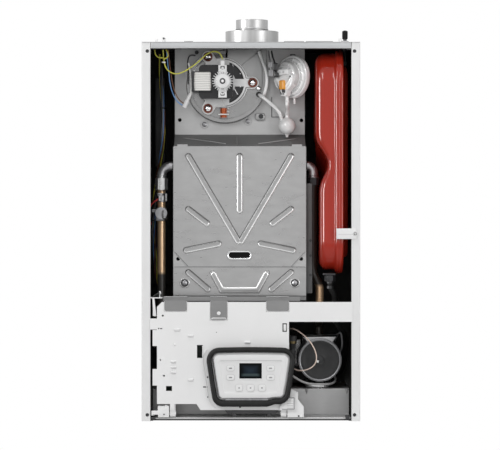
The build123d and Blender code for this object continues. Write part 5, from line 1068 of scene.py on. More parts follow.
class BOILER_OT_fan(bpy.types.Operator):
    """Adds the volute's skin and a dark line of painted shade round its edge, the coil, the choke, the slots,
    the plate's rim and the screws.
    """

    bl_idname = "boiler.fan"
    bl_label = "Fan"

    def execute(self, context):
        volute_skin(context.scene.boiler_sizes.volute_edge / MM)
        # a dark tube round the volute's foot: painted shade under its edge
        tube("volute_edge_shade", facing(scroll_outline(1), 166.3), 0.9, "zinc_dark", 10)
        # plate_well is a dark disc behind the motor plate's windows: painted shade
        turned("plate_well", (FAN[0], 0, FAN[1]), TOWARDS,
               [(16.5, 182.3), (40.6, 182.3), (40.6, 183.2), (16.5, 183.2)], "shade", 96, loop=True)
        for number, (left, high, right, low, radius) in enumerate(
                ((-34.6, 658.6, -32.6, 655.4, 1.3), (-21, 642.2, -18.6, 641.4, 1.5),
                 (-20.4, 617.8, -18.4, 617, 1.4), (-31.2, 613.6, -24.6, 602.6, 1.7)), 1):
            rod(f"window_vane_{number}", (left, -183.6, high), (right, -183.6, low), radius, "chrome", 10,
                points=5)
        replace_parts(coil_body(), "motor_coil")
        choke()
        slab("coil_former", centred(-107.4, FAN[1], 4.8, 37.2, 1.2), 196, 231, 0.8, "black")
        for name, level in (("coil_flange_top", 17.6), ("coil_flange_low", -17.6)):
            slab(name, centred(-89.5, FAN[1] + level, 34, 2, 0.6), 193, 230.5, 0.5, "black")
        # the bridge's slots in the shade finish are dark slabs of painted shade in its openings
        for number, (rise, wide, high, front, finish) in enumerate(
                ((25, 8.2, 6.6, 234.8, "shade"), (25.4, 4.2, 3, 235.4, "steel"),
                 (15.5, 3, 3.6, 234.8, "shade"), (-14, 3, 4, 234.8, "shade"), (-23.5, 8, 6.4, 234.8, "shade"),
                 (-23.5, 5, 2.6, 235.4, "steel")), 1):
            outline = centred(FAN[0], FAN[1] + rise, wide, high, min(wide, high) * 0.3)
            slab(f"bridge_slot_{number}", outline, 234.2, front, 0.1, finish)
        boss = [(4.6, 0), (4.4, 0.6), (2.4, 0.7), (2.2, 0), (2.2, -0.5), (4.6, -0.5)]
        for name, rise in (("bridge_boss_low", -20), ("bridge_boss_high", 20)):
            turned(name, (FAN[0], -234.5, FAN[1] + rise), TOWARDS, boss, "steel", 28, loop=True)
        for number, angle in enumerate(np.radians((0, 120, 240)), 1):
            x, z = FAN[0] + LOBE_REACH * np.cos(angle), FAN[1] + LOBE_REACH * np.sin(angle)
            cross_screw(f"lobe_screw_{number}", (x, -193.2, z), 5.4)
            beaded(f"grommet_lip_{number}", (x, 0, z), TOWARDS, 7.2, 190.4, 1.5, "grommet", 14, 40)
        # plate_rim is a pale line of painted highlight on the motor plate's edge, plate_groove a dark line of
        # painted shade just inside it
        for name, span, grow, depth, thick, finish in (("plate_rim", 180, -0.9, 187.8, 0.9, "pale_edge"),
                                                       ("plate_groove", 84, -3, 187.6, 0.75, "shade")):
            turn = np.radians(np.linspace(-span, span, RIM_SAMPLES))
            reach = plate_reach(turn, grow)
            line = np.stack(
                [FAN[0] + reach * np.cos(turn), np.full(len(turn), -depth), FAN[1] + reach * np.sin(turn)], 1)
            run = distances(line)
            path = np.stack(
                [np.interp(np.linspace(0, run[-1], RIM_POINTS), run, line[:, axis]) for axis in range(3)], 1)
            tube(name, path, thick, finish, 8)
        for number, (x, z) in enumerate(((-86.9, 547.5), (-5.8, 553.7)), 1):
            turned(f"fan_plate_washer_{number}", (x, -166.2, z), TOWARDS,
                   [(7.4, 0), (7, 0.9), (4.9, 0.9), (4.9, 0)], "zinc", 36, loop=True)
            cross_screw(f"fan_plate_screw_{number}", (x, -167.6, z), 4.6, "dull_steel")
        lug = front_x(260.4, 168), front_z(116.4, 168)
        slab("volute_lug", rectangle(lug[0] - 9, lug[0] + 8, lug[1] - 7.5, lug[1] + 6, 3), 166.4, 171, 1.4,
             "volute")
        # volute_lug_hole is a black disc for the lug's hole: painted shade
        turned("volute_lug_hole", (lug[0] + 1, -171, lug[1]), TOWARDS,
               [(4.6, -0.2), (4.6, 0.15), (0.4, 0.15)], "black", 28)
        hub = [(3.02, 240.9), (5.4, 240.9), (5.4, 241.7), (4.9, 242.1), (3.02, 242.1)]
        turned("wheel_hub", (FAN[0], 0, FAN[1]), TOWARDS, hub, "black", 40, "fan", loop=True)
        turned("shaft_end", (FAN[0], 0, FAN[1]), TOWARDS,
               [(0.3, 243.8), (2.9, 243.8), (2.3, 244.5), (0.3, 244.7)], "chrome", 32, "fan")
        return {"FINISHED"}


# ------------------------------------------------------------------ combustion chamber

COVER_FACE = 225
COVER_X = -20.8
COVER_LEFT, COVER_RIGHT, COVER_SPLIT = -142.8, 101.2, 281.7


def pressed_rib(name, outline, height, even=False):
    """A rib pressed out of a cover: a steep flank with a round shoulder, up to a gently crowned top.

    The outline's way along X, times the sign of its area, tells its lower side from its upper side.
    The lower one gets a brighter level and the upper one a darker, as the light falls in the photograph.
    """
    turn = np.linspace(0, np.pi / 2, 9)
    profile = [(-0.9, COVER_FACE - 0.4), (-0.8, COVER_FACE + 0.1), (-0.1, COVER_FACE + 0.15)]
    profile += [(2.6 * (1 - np.cos(a)), COVER_FACE + height * np.sin(a)) for a in turn]
    profile += [(3.4, COVER_FACE + height + 0.05), (4.4, COVER_FACE + height + 0.08)]
    rings = [facing(inset(outline, step), depth) for step, depth in profile]
    levels = np.array([0, 0, 0.2] + [0.6, 0.9] + [1] * 6 + [0.8] + [0.5, 0.42])[:, None]
    way = np.roll(outline, -1, 0) - np.roll(outline, 1, 0)
    area = np.sum(outline[:, 0] * np.roll(outline[:, 1], -1) - np.roll(outline[:, 0], -1) * outline[:, 1])
    low = 0.5 + 0.5 * np.sign(area) * way[:, 0] / np.linalg.norm(way, axis=1)
    low = np.full(len(outline), 0.62) if even else low
    bright = 0.5 + (levels - 0.5) * np.clip(2.6 * low - 1, -0.6, 1)
    shaded = 0.5 - (0.5 - levels) * np.clip(1.6 - 2.4 * low, 0, 1)
    return shell(name, rings, "rib", sharp=60, along=np.where(levels > 0.5, bright, shaded))


class BOILER_OT_chamber(bpy.types.Operator):
    """Adds the covers' ribs, dark corner lines of painted shade and the seam, the sight slot's rim, the
    screws and the roof's ribs.
    """

    bl_idname = "boiler.chamber"
    bl_label = "Chamber"

    def execute(self, context):
        sizes = context.scene.boiler_sizes
        width, height = sizes.rib_width / MM, sizes.rib_height / MM
        pairs = [((-95, 486), (-3, 329)), ((-95, 388), (-61, 362)), ((-99, 312), (-39, 324)),
                 ((-95, 271), (-59, 240))]
        for number, (start, end) in enumerate(pairs, 1):
            for side in (-1, 1):
                outline = slot((COVER_X - side * start[0], start[1]), (COVER_X - side * end[0], end[1]),
                               width)
                pressed_rib(f"cover_rib_{number}_{'left' if side > 0 else 'right'}", outline, height)
        pressed_rib("cover_rib_middle", slot((COVER_X, 486), (COVER_X, 386), width), height)
        trough = [(COVER_X - 51, 272), (COVER_X - 33, 238.5), (COVER_X + 33, 238.5), (COVER_X + 51, 272)]
        pressed_rib("cover_rib_trough", band(trough, width, 3), height, even=True)
        # the corner lines are dark rods of painted shade along the upper cover's corner folds
        for side, name in ((-1, "left"), (1, "right")):
            rod(f"cover_corner_{name}", (COVER_X + side * 120.6, -COVER_FACE - 0.1, 309.2),
                (COVER_X + side * 95.6, -COVER_FACE - 0.1, 282.4), 0.6, "roof")
        rim = rectangle(COVER_X - 23.8, COVER_X + 23.2, 294.2, 311.8, 8.6, 10)
        opening = rectangle(COVER_X - 20.2, COVER_X + 19.6, 297.6, 308.4, 5.2, 10)
        rings = [facing(rim, COVER_FACE - 0.5), facing(inset(rim, 0.4), COVER_FACE + 1.2),
                 facing(inset(rim, 1.4), COVER_FACE + 2.3), facing(inset(rim, 2.4), COVER_FACE + 2.3),
                 facing(opening, COVER_FACE + 1.4), facing(opening, COVER_FACE - 0.8)]
        shell("sight_rim", rings, "chrome_sheet", loop=True)
        for number, x in enumerate((COVER_LEFT + 20, COVER_RIGHT - 20), 1):
            dimple = [(9.4, -0.3), (9.2, 0.6), (8.4, 1.1), (7.4, 1), (6.8, 0.4), (6.8, -0.3)]
            turned(f"cover_dimple_{number}", (x, -COVER_FACE, 251.5), TOWARDS, dimple, "cover", 48, loop=True)
            turned(f"cover_washer_{number}", (x, -COVER_FACE, 251.5), TOWARDS,
                   [(6.9, -0.1), (6.9, 0.25), (4.6, 0.3), (4.6, -0.1)], "black", 40, loop=True)
            cross_screw(f"cover_screw_{number}", (x, -COVER_FACE - 2.4, 251.5), 4.7, "dull_steel")
        roof_ribs = (((184, 138), (226, 143.8)), ((237, 137.6), (237, 144)), ((297, 138.6), (258, 143.8)))
        for number, ((x0, y0), (x1, y1)) in enumerate(roof_ribs, 1):
            ends = []
            for column, row in ((x0, y0), (x1, y1)):
                share = (row - 134.6) / (146.2 - 134.6)
                depth = 165 + share * 59
                ends.append((front_x(column, depth), -depth - 0.3, front_z(row, depth)))
            rod(f"roof_rib_{number}", *ends, 1.7, "roof", 10, points=12)
        slab("cover_seam", rectangle(COVER_LEFT + 1, COVER_RIGHT - 1, COVER_SPLIT - 0.9, COVER_SPLIT - 0.1,
                                     0.2), COVER_FACE - 1, COVER_FACE + 0.15, 0.1, "black")
        slab("side_strip_right", rectangle(101.6, 114, 232, 436, 1.5), 205, 216, 1, "rail")
        # the strip's holes are black discs: painted shade
        for level in (266, 302, 330):
            turned(f"strip_hole_{level}", (110.5, -216, float(level)), TOWARDS,
                   [(2.6, -0.2), (2.6, 0.1), (0.3, 0.1)], "black", 20)
        return {"FINISHED"}


# ------------------------------------------------------------------ expansion vessel

VESSEL_RIM, VESSEL_LEFT, VESSEL_RIGHT = 156, 118.8, 179.5


def vessel_face(z):
    """X of the vessel's left face by height: drawn in at the notch for the pipe and a little below it."""
    levels = [230, 425, 438, 450, 462, 472, 484, 498, 512, 522, 700]
    places = [126.5, 126.5, 129, 135.5, 141, 142.5, 139, 130, 121, 118.9, 118.8]
    return np.mean([np.interp(z + step, levels, places) for step in np.linspace(-7, 7, 7)], axis=0)


def vessel_ring(reach):
    """The vessel's rounded rectangle in depth and height, larger by reach, with points along its sides."""
    low, high = (-266 - reach, 276 - reach), (-46 + reach, 677 + reach)
    corner = max(52 + reach, 0.5 * min(high[0] - low[0], 52))
    corner = min(corner, (high[0] - low[0]) / 2 - 0.05)
    return with_sides(rectangle(low[0], high[0], low[1], high[1], corner, 9), 9, 40)


def vessel_skin():
    """The pressed vessel as one skin along X: left shell, rolled rim with its seam, smaller right shell."""
    turn = np.linspace(0, np.pi / 2, 9)
    sections = [(VESSEL_LEFT, -109), (VESSEL_LEFT, -70), (VESSEL_LEFT, -36)]
    sections += [(VESSEL_LEFT + 17 * (1 - np.cos(a)), -17 * (1 - np.sin(a))) for a in turn]
    sections += [(146, 0), (152, 0.3), (154.6, 1.6), (155.6, 4), (156.6, 5.4), (158.6, 6.2), (162.2, 6.4),
                 (162.8, 6), (163.4, 6.4), (167.2, 6.2), (169.2, 5.2), (170, 3.4), (170.2, 0)]
    sections += [(170.4, -19), (171.4, -21.6)]
    sections += [(171.5 + 8 * np.sin(a), -22 - 9 * (1 - np.cos(a))) for a in turn]
    sections += [(VESSEL_RIGHT, -60), (VESSEL_RIGHT, -109)]
    rings = []
    for place, reach in sections:
        outline = vessel_ring(reach)
        x = np.full(len(outline), place)
        if place < VESSEL_RIM:
            share = (VESSEL_RIM - vessel_face(outline[:, 1])) / (VESSEL_RIM - VESSEL_LEFT)
            x = VESSEL_RIM - (VESSEL_RIM - place) * share
        rings.append(np.stack([x, outline[:, 0], outline[:, 1]], 1))
    return shell("vessel_skin", rings, "red", sharp=70)


def hex_reach(flats, turn):
    """Radius of a hexagon by angle: half the flats over the cosine of the angle from the nearest flat."""
    return flats / 2 / np.cos(turn % (np.pi / 3) - np.pi / 6)


def nut(name, centre, low, high, flats, finish):
    """A hexagon nut standing on end, its corners cut by a cone at both ends."""
    chamfer = 1.2
    turn = full_turn(72)
    reach = hex_reach(flats, turn)
    rings = []
    for level, limit in ((low, flats * 0.5), (low + chamfer, flats), (high - chamfer, flats),
                         (high, flats * 0.5)):
        radius = np.minimum(reach, limit)
        rings.append(np.stack(
            [centre[0] + radius * np.cos(turn), centre[1] + radius * np.sin(turn), np.full(72, level)], 1))
    return shell(name, rings, finish, sharp=25)


def thread(radius, low, high):
    """Profile of a screw thread's crests and roots between two levels."""
    pitch, depth = 2.3, 1.3
    count = int((high - low) / pitch)
    steps = np.arange(2 * count + 1)
    return [(radius - depth * (step % 2), low + step * pitch / 2) for step in steps]


VALVE, HOSE_END = (175.5, -190), (146, -235)
VESSEL_HOSE = [(146, -235, 255), (146, -235, 242), (155, -231, 230), (156, -223, 214), (152, -211, 197),
               (158, -196, 177), (174, -174, 159), (178, -148, 137), (178, -124, 113), (177, -105, 95),
               (171, -94, 78), (163, -90, 75), (150, -90, 75)]


class BOILER_OT_vessel(bpy.types.Operator):
    """Adds the vessel's pressed skin, its clip, its bottom fitting and the valve's knurled cap."""

    bl_idname = "boiler.vessel"
    bl_label = "Expansion vessel"

    def execute(self, context):
        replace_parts(vessel_skin(), "expansion_vessel")
        slab("clip_front", rectangle(156.3, 193, 333.2, 352.6, 1.6), 281.6, 282.9, 0.7, "plastic")
        # clip_crease is a grey line of painted shade along the clip's fold
        slab("clip_crease", rectangle(159.5, 188, 341.6, 342.2, 0.25), 282.7, 283.1, 0.1, "outline")
        cross_screw("clip_screw", (190.75, -282.9, 342.9), 4, "shade")
        nut("valve_cap_base", VALVE, 698.2, 702.2, 13, "dull_steel")
        turned("valve_washer", (*VALVE, 0), UP,
               [(3.6, 694.2), (10.5, 694.2), (11, 695), (10.5, 697.8), (9, 698.4), (3.6, 698.4)], "plastic",
               40, loop=True)
        turn = full_turn(96)
        rings = []
        for radius, level, depth in ((4.2, 705.5, 0), (4.8, 706.5, 0.35), (4.9, 714, 0.35),
                                     (4.9, 719.5, 0.35), (4.2, 721.2, 0), (2, 721.8, 0)):
            reach = radius + depth * np.cos(24 * turn)
            rings.append(np.stack(
                [VALVE[0] + reach * np.cos(turn), VALVE[1] + reach * np.sin(turn), np.full(96, level)], 1))
        shell("valve_cap", rings, "rubber")
        nut("fitting_nut", HOSE_END, 254.6, 266.2, 18, "black")
        brick("fitting_plate", (132.6, -246, 266), (156.4, -224, 270.2), 1.5, "black")
        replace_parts(wire("vessel_hose_skin", VESSEL_HOSE, 5.2, "rubber"), "vessel_hose")
        for number, level in enumerate((253.5, 244), 1):
            ferrule = [(5, level - 2.4), (6.4, level - 2.4), (6.4, level + 2.4), (5, level + 2.4)]
            turned(f"hose_ferrule_{number}", (*HOSE_END, 0), UP, ferrule, "black", 36, loop=True)
        return {"FINISHED"}


# ------------------------------------------------------------------ air pressure switch

SWITCH = np.array([78.4, -206, 634.5])
SWITCH_TURN = np.radians(46)
SWITCH_AXIS = np.array([-np.sin(SWITCH_TURN), -np.cos(SWITCH_TURN), 0])
SWITCH_ACROSS = np.array([np.cos(SWITCH_TURN), -np.sin(SWITCH_TURN), 0])
SWITCH_CABLES = {
    "switch_cable_grey": (1.5, "grey_wire", [
        (33.6, -200, 683), (33.2, -205, 676), (34.6, -213, 669), (36, -218, 660)]),
    "switch_cable_black": (1.6, "black_wire", [
        (38.4, -200, 683), (39.8, -204, 675), (41.4, -212, 668), (45, -218, 658)]),
    "switch_cable_white": (1.2, "white_wire", [
        (35.4, -201, 683), (36.4, -206, 674), (35.6, -214, 662), (37, -219, 646)]),
    "switch_cable_low": (1.4, "black_wire", [
        (45.5, -219, 646), (47.5, -222, 642), (48.6, -222, 640), (50, -220, 636)]),
}


def on_switch(name, outline, low, high, edge, finish, sharp=40):
    """A slab on the switch's face, between two heights over its middle, with a rounded front edge."""
    normal = np.cross(SWITCH_ACROSS, UP)
    rings = []
    for step, height in [(0, low)] + round_edge(edge, high):
        ring = inset(outline, step)
        rings.append(SWITCH + ring[:, :1] * SWITCH_ACROSS + ring[:, 1:] * UP + height * normal)
    return shell(name, rings, finish, sharp=sharp)


class BOILER_OT_switch(bpy.types.Operator):
    """Adds the air pressure switch: stepped disc, clear drum, lobed cover, orange cap, nipples and plugs."""

    bl_idname = "boiler.switch"
    bl_label = "Air pressure switch"

    def execute(self, context):
        disc = [(0.5, -6), (36.5, -6), (38.6, -5.4), (39.8, -4), (39.8, -1.2), (38.7, -0.8), (38.7, -0.2),
                (39.8, 0.3), (39.8, 3), (39.2, 4.4), (37.8, 5.2), (36.8, 5), (36.4, 3.4), (35.2, 3.4),
                (34.8, 6), (33.8, 7.4), (32.6, 8), (30.4, 8), (30, 6.6), (29.4, 6.6), (29, 8.4), (0.5, 8.6)]
        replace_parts(turned("switch_disc", SWITCH, SWITCH_AXIS, disc, "milky", 96, sharp=30),
                    "pressure_switch")
        drum = [(0.5, 8), (28.6, 8), (28.6, 10.4), (27.4, 11.2), (27, 19.6), (26.4, 21.4), (24.6, 22.4),
                (21, 22.6), (20.2, 21.4), (12, 21.4), (11.4, 23.8), (0.5, 23.8)]
        turned("switch_drum", SWITCH, SWITCH_AXIS, drum, "frosted", 96, sharp=30)
        for number in range(12):
            angle = np.radians(15 + 30 * number)
            way = np.cos(angle) * SWITCH_ACROSS + np.sin(angle) * UP
            rod(f"switch_rib_{number + 1}", SWITCH + way * 28 + SWITCH_AXIS * 9.2,
                SWITCH + way * 35 + SWITCH_AXIS * 8.2, 0.9, "milky")
        cover = rounded([(-24, 3), (-25, -7), (-20, -18), (-10, -27), (-6, -37), (6, -37), (10, -27),
                         (21, -18), (25, -8), (24, 3)], [3, 6, 7, 7, 3, 3, 7, 7, 6, 3], 6)
        on_switch("switch_cover", cover, 14, 26.5, 1.6, "milky")
        on_switch("switch_cover_step", inset(cover, 4), 25, 28.4, 1.2, "milky")
        on_switch("switch_plug", rectangle(-21, 17, 2.5, 12.5, 1.4), 20, 31.5, 1, "plastic")
        for number, side in enumerate((-14, -4, 6), 1):
            on_switch(f"switch_pin_{number}", centred(side, 7.5, 4.4, 4.6, 0.5), 30, 31.9, 0.2, "outline")
        on_switch("switch_cap", rectangle(-4.6, 8.2, -25, -7.8, 2.6), 28, 33.4, 2.2, "orange", 60)
        on_switch("switch_stub", rectangle(2.6, 6.8, -31, -24.6, 1), 28, 33, 0.6, "black")
        brick("switch_foot", (56, -181, 626), (64, -165.6, 643), 1.2, "plastic")
        lug = SWITCH + UP * 40 + SWITCH_AXIS * 1
        brick("switch_lug", tuple(lug + np.array([-5.2, -3, -1.6])), tuple(lug + np.array([5.2, 3, 2.2])),
              1.2, "shade")
        for name, x, y, low, high, radius in (("switch_nipple_low", 66.9, -217.1, 580.5, 600, 3.5),
                                              ("switch_nipple_high", 81, -206, 584, 596, 2.4)):
            barb = [(1.2, low), (radius - 0.6, low), (radius, low + 1.8), (radius - 0.5, low + 3.4),
                    (radius, low + 5.2), (radius - 0.5, low + 6.8), (radius - 0.3, high), (1.2, high)]
            turned(name, (x, y, 0), UP, barb, "milky", 32)
        for number, (x, z, wide, high, finish) in enumerate(
                ((36, 656, 8, 11, "plug_grey"), (45.5, 652, 9, 14, "black"), (37, 640.5, 9, 12, "plug_grey"),
                 (48, 637, 7, 8, "black")), 1):
            brick(f"switch_connector_{number}", (x - wide / 2, -226, z - high / 2),
                  (x + wide / 2, -214, z + high / 2), 1.4, finish)
        lay(SWITCH_CABLES)
        left, right, high, low = front_x(271.7, 167), front_x(288, 167), front_z(97, 167), front_z(117, 167)
        # bracket_line_1 and bracket_line_2 are dark lines of painted shade along the bracket's edges
        rod("bracket_line_1", (left, -166.3, high), (left, -166.3, low), 0.55, "shade")
        rod("bracket_line_2", (left, -166.3, low), (right, -166.3, low), 0.55, "shade")
        return {"FINISHED"}


AIR_TUBES = {
    "switch_tube": (3.9, "clear", [
        (66.9, -217.1, 590), (66.9, -217.1, 581.5), (68.4, -196, 573.6), (67.4, -190, 565.6)]),
    "fan_tube": (3.3, "clear", [(15.6, -182.3, 602), (16.4, -189, 601.6), (25, -195, 595), (37, -198, 585),
                                (48, -198, 575), (56, -196, 563), (58, -192, 553)]),
    "silicone_tube": (3.1, "silicone", [
        (15.1, -190, 682), (19, -194, 671), (24, -197, 659), (28.5, -198, 645), (30, -198, 630),
        (28.5, -197, 616), (25, -192, 604), (24, -183, 600)]),
}


class BOILER_OT_tubes(bpy.types.Operator):
    """Adds the clear condensate ball and the air tubes between the fan, the ball and the switch."""

    bl_idname = "boiler.tubes"
    bl_label = "Air tubes"

    def execute(self, context):
        centre, radius = (67.4, -190, 543.7), 15.9
        turn = np.linspace(0.03, np.pi - 0.03, 40)
        bead = 0.5 * np.exp(-((turn - np.pi / 2) / 0.05)**2)
        profile = np.stack([(radius + bead) * np.sin(turn), (radius + bead) * np.cos(turn)], 1)
        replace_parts(turned("condensate_ball", centre, UP, profile, "clear", 72, sharp=180), "sensing_tubes")
        neck = [(1, 12), (6, 12), (4.6, 16), (3.6, 18), (3.4, 23.5), (1, 23.5)]
        turned("ball_neck", centre, UP, neck, "clear", 36)
        drain = [(1, -21), (2.6, -21), (3, -17.5), (5, -15), (1, -15)]
        turned("ball_drain", centre, UP, drain, "clear", 36)
        lay(AIR_TUBES)
        dome = [(0.5, 0), (4.4, 0), (4.4, 3), (3.4, 4.6), (1.6, 5.4), (0.3, 5.5)]
        turned("tap_point_high", (14.2, -182.4, 614), TOWARDS, dome, "chrome", 28)
        turned("tap_point_seal", (14.6, -182.4, 603), TOWARDS, [(0.5, 0), (5, 0), (4.8, 2), (0.5, 2.4)],
               "rubber", 28)
        # plate_hole is a black disc for a hole in the fan plate: painted shade
        turned("plate_hole", (front_x(196.7, 166), -166.2, front_z(52.4, 166)), TOWARDS,
               [(3.7, -0.1), (3.7, 0.3), (0.3, 0.3)], "black", 28)
        return {"FINISHED"}


# ------------------------------------------------------------------ pipes

FLOW_X, RETURN_X, PIPE_Y = -166.9, 116, -190
PIPE_LEADS = {
    "sensor_lead_red": (1.1, "red_wire", [(-169.9, -203, 408), (-175.9, -203, 405), (-182.9, -200, 400),
                                          (-188.9, -192, 394), (-191.9, -180, 386)]),
    "thermostat_lead_1": (1.2, "black_wire", [
        (-181.9, -200, 384), (-185.9, -196, 381), (-188.9, -184, 374), (-188.9, -170, 366)]),
    "thermostat_lead_2": (1.2, "black_wire", [
        (-174.9, -202, 370), (-180.9, -201, 367), (-186.9, -192, 368), (-189.9, -176, 362)]),
}


class BOILER_OT_pipes(bpy.types.Operator):
    """Adds the elbows' beads and nuts, the clip, the thermostat and the cross member's lips and pads."""

    bl_idname = "boiler.pipes"
    bl_label = "Pipes"

    def execute(self, context):
        # the return side's nut and elbow beads take darker finishes than the flow side's: painted shade
        nut("flow_nut", (FLOW_X, PIPE_Y), 424, 446.8, 20.8, "steel")
        nut("return_nut", (RETURN_X, PIPE_Y), 432.6, 446.8, 18.8, "iron")
        for name, x, finish in (("flow", FLOW_X, "steel"), ("return", RETURN_X, "dull_steel")):
            for number, (level, reach) in enumerate(((447.8, 9.6), (451, 9.2)), 1):
                ring = belted(7.5, reach, level, 1, 0.5)
                turned(f"{name}_elbow_bead_{number}", (x, PIPE_Y, 0), UP, ring, finish, 48, loop=True)
        flange = belted(8, 13.4, 0, 1.4, 0.4)
        for name, x in (("flow", -144.6), ("return", 103)):
            turned(f"{name}_wall_ring", (x, PIPE_Y, 469), (1, 0, 0), flange, "rubber", 48, loop=True)
        x = FLOW_X
        band_profile = [(7.6, 404), (9.4, 404), (9.8, 405), (9.8, 416), (9.4, 417), (7.6, 417)]
        turned("sensor_band", (x, PIPE_Y, 0), UP, band_profile, "black", 40, loop=True)
        # sensor_plug_gap is a dark strip of painted shade in the plug's split
        bricks(x, (("sensor_clip_arm", 7.5, -204, 403, 10.5, -192, 417.5, 1.2, "plastic"),
                   ("sensor_plug", -4.6, -206.5, 403.6, 4.4, -199, 412.8, 1.2, "plastic"),
                   ("sensor_plug_gap", -0.6, -206.9, 404.4, 0.4, -206, 412.2, 0.2, "shade"),
                   ("sensor_body", -7.8, -202.5, 412, 3, -194, 418.6, 1.6, "dull_steel")))
        disc = [(0.4, 0), (11.4, 0), (12.4, 0.8), (12.4, 2.6), (11.4, 3.4), (8.6, 3.6), (8, 4.6), (6.8, 5),
                (0.4, 5.1)]
        turned("thermostat_disc", (x + 4.4, -197, 378.5), (0.96, -0.28, 0), disc, "steel", 56)
        bricks(x, (("thermostat_body", -10, -206, 366.5, 5, -195, 384, 2, "plug_grey"),
                   ("thermostat_clip", -7, -203, 384.2, 3, -195, 391, 1.6, "steel"),
                   ("thermostat_plug", -18, -203, 382.6, -9, -196, 388.4, 1.6, "plug_grey")))
        lay(PIPE_LEADS)
        for name, left, right in (("left", -158.5, -116.5), ("middle", -74.5, -43.5), ("right", 28, 70)):
            rod(f"cross_lip_{name}", (left, -272.4, 227.2), (right, -272.4, 227.2), 0.9, "zinc", 10, points=6)
        for name, left, right, low in (("left", -158.8, -116.6, 200.5), ("middle", -74.9, -42.7, 184.5),
                                       ("right", 27.9, 70.1, 200.5)):
            slab(f"tab_backing_{name}", rectangle(left, right, low, 219.4, 0.6), 277.6, 280.2, 0.3, "plastic")
        slab("tab_lip", slot((-70, 187.8), (-47.6, 187.8), 5), 280.8, 284.4, 2, "zinc")
        bush = [(0.3, 279.2), (4.6, 279.2), (4.6, 280.45), (3.45, 280.45), (3.45, 281.3), (2.8, 281.6),
                (0.3, 281.6)]
        turned("tab_bush", (-58.8, 0, 197.6), TOWARDS, bush, "plastic", 32)
        return {"FINISHED"}


# ------------------------------------------------------------------ control box and panel

def panel_outline(shrink, jog=0, lift=0):
    """The panel's rounded trapezoid, smaller by shrink: its foot is raised by lift, its right end by jog."""
    slope = np.arctan2(84.2 - 68, 133.5 - 28)
    low, high = 28 + shrink, 133.5 - shrink
    side = shrink / np.cos(slope)
    half = [68 + (level - 28) * np.tan(slope) - side for level in (low, high)]
    corners = [(-half[0], low), (half[0], low), (half[1], high), (-half[1], high)]
    radii = np.maximum(np.array([20, 20, 22, 22]) - shrink, 2.5)
    outline = with_sides(rounded(corners, radii, 9), 9, 15)
    rise = np.clip((outline[:, 1] - 60) / 60, 0, 1)**2
    outline[:, 1] += 2 * rise * (1 - (outline[:, 0] / 84.2)**2)
    step = np.clip((outline[:, 0] - 30) / 14, 0, 1)
    outline[:, 1] += (jog * step**2 * (3 - 2 * step) + lift) * np.clip((70 - outline[:, 1]) / 30, 0, 1)
    return outline


def key_outline(place, size, grow):
    """A button's rounded outline, larger all round by grow."""
    return centred(*place, size[0] + 2 * grow, size[1] + 2 * grow, 3.4 + grow, 7)


KEYS = [((side * 36.5 - 0.7, z), (13.6, 9.2)) for side in (-1, 1) for z in (97.9, 81.1)]
KEYS += [((step * 20.8 - 0.7, 62.1), (12.6, 11.4)) for step in (-1, 0, 1)]


def looped(name, outer, inner, profile, finish):
    """A ring on the panel between two outlines: profile lists (share of the way inwards, depth)."""
    rings = [facing(outer * (1 - share) + inner * share, depth) for share, depth in profile]
    return shell(name, rings, finish, CONTROL, loop=True, sharp=60)


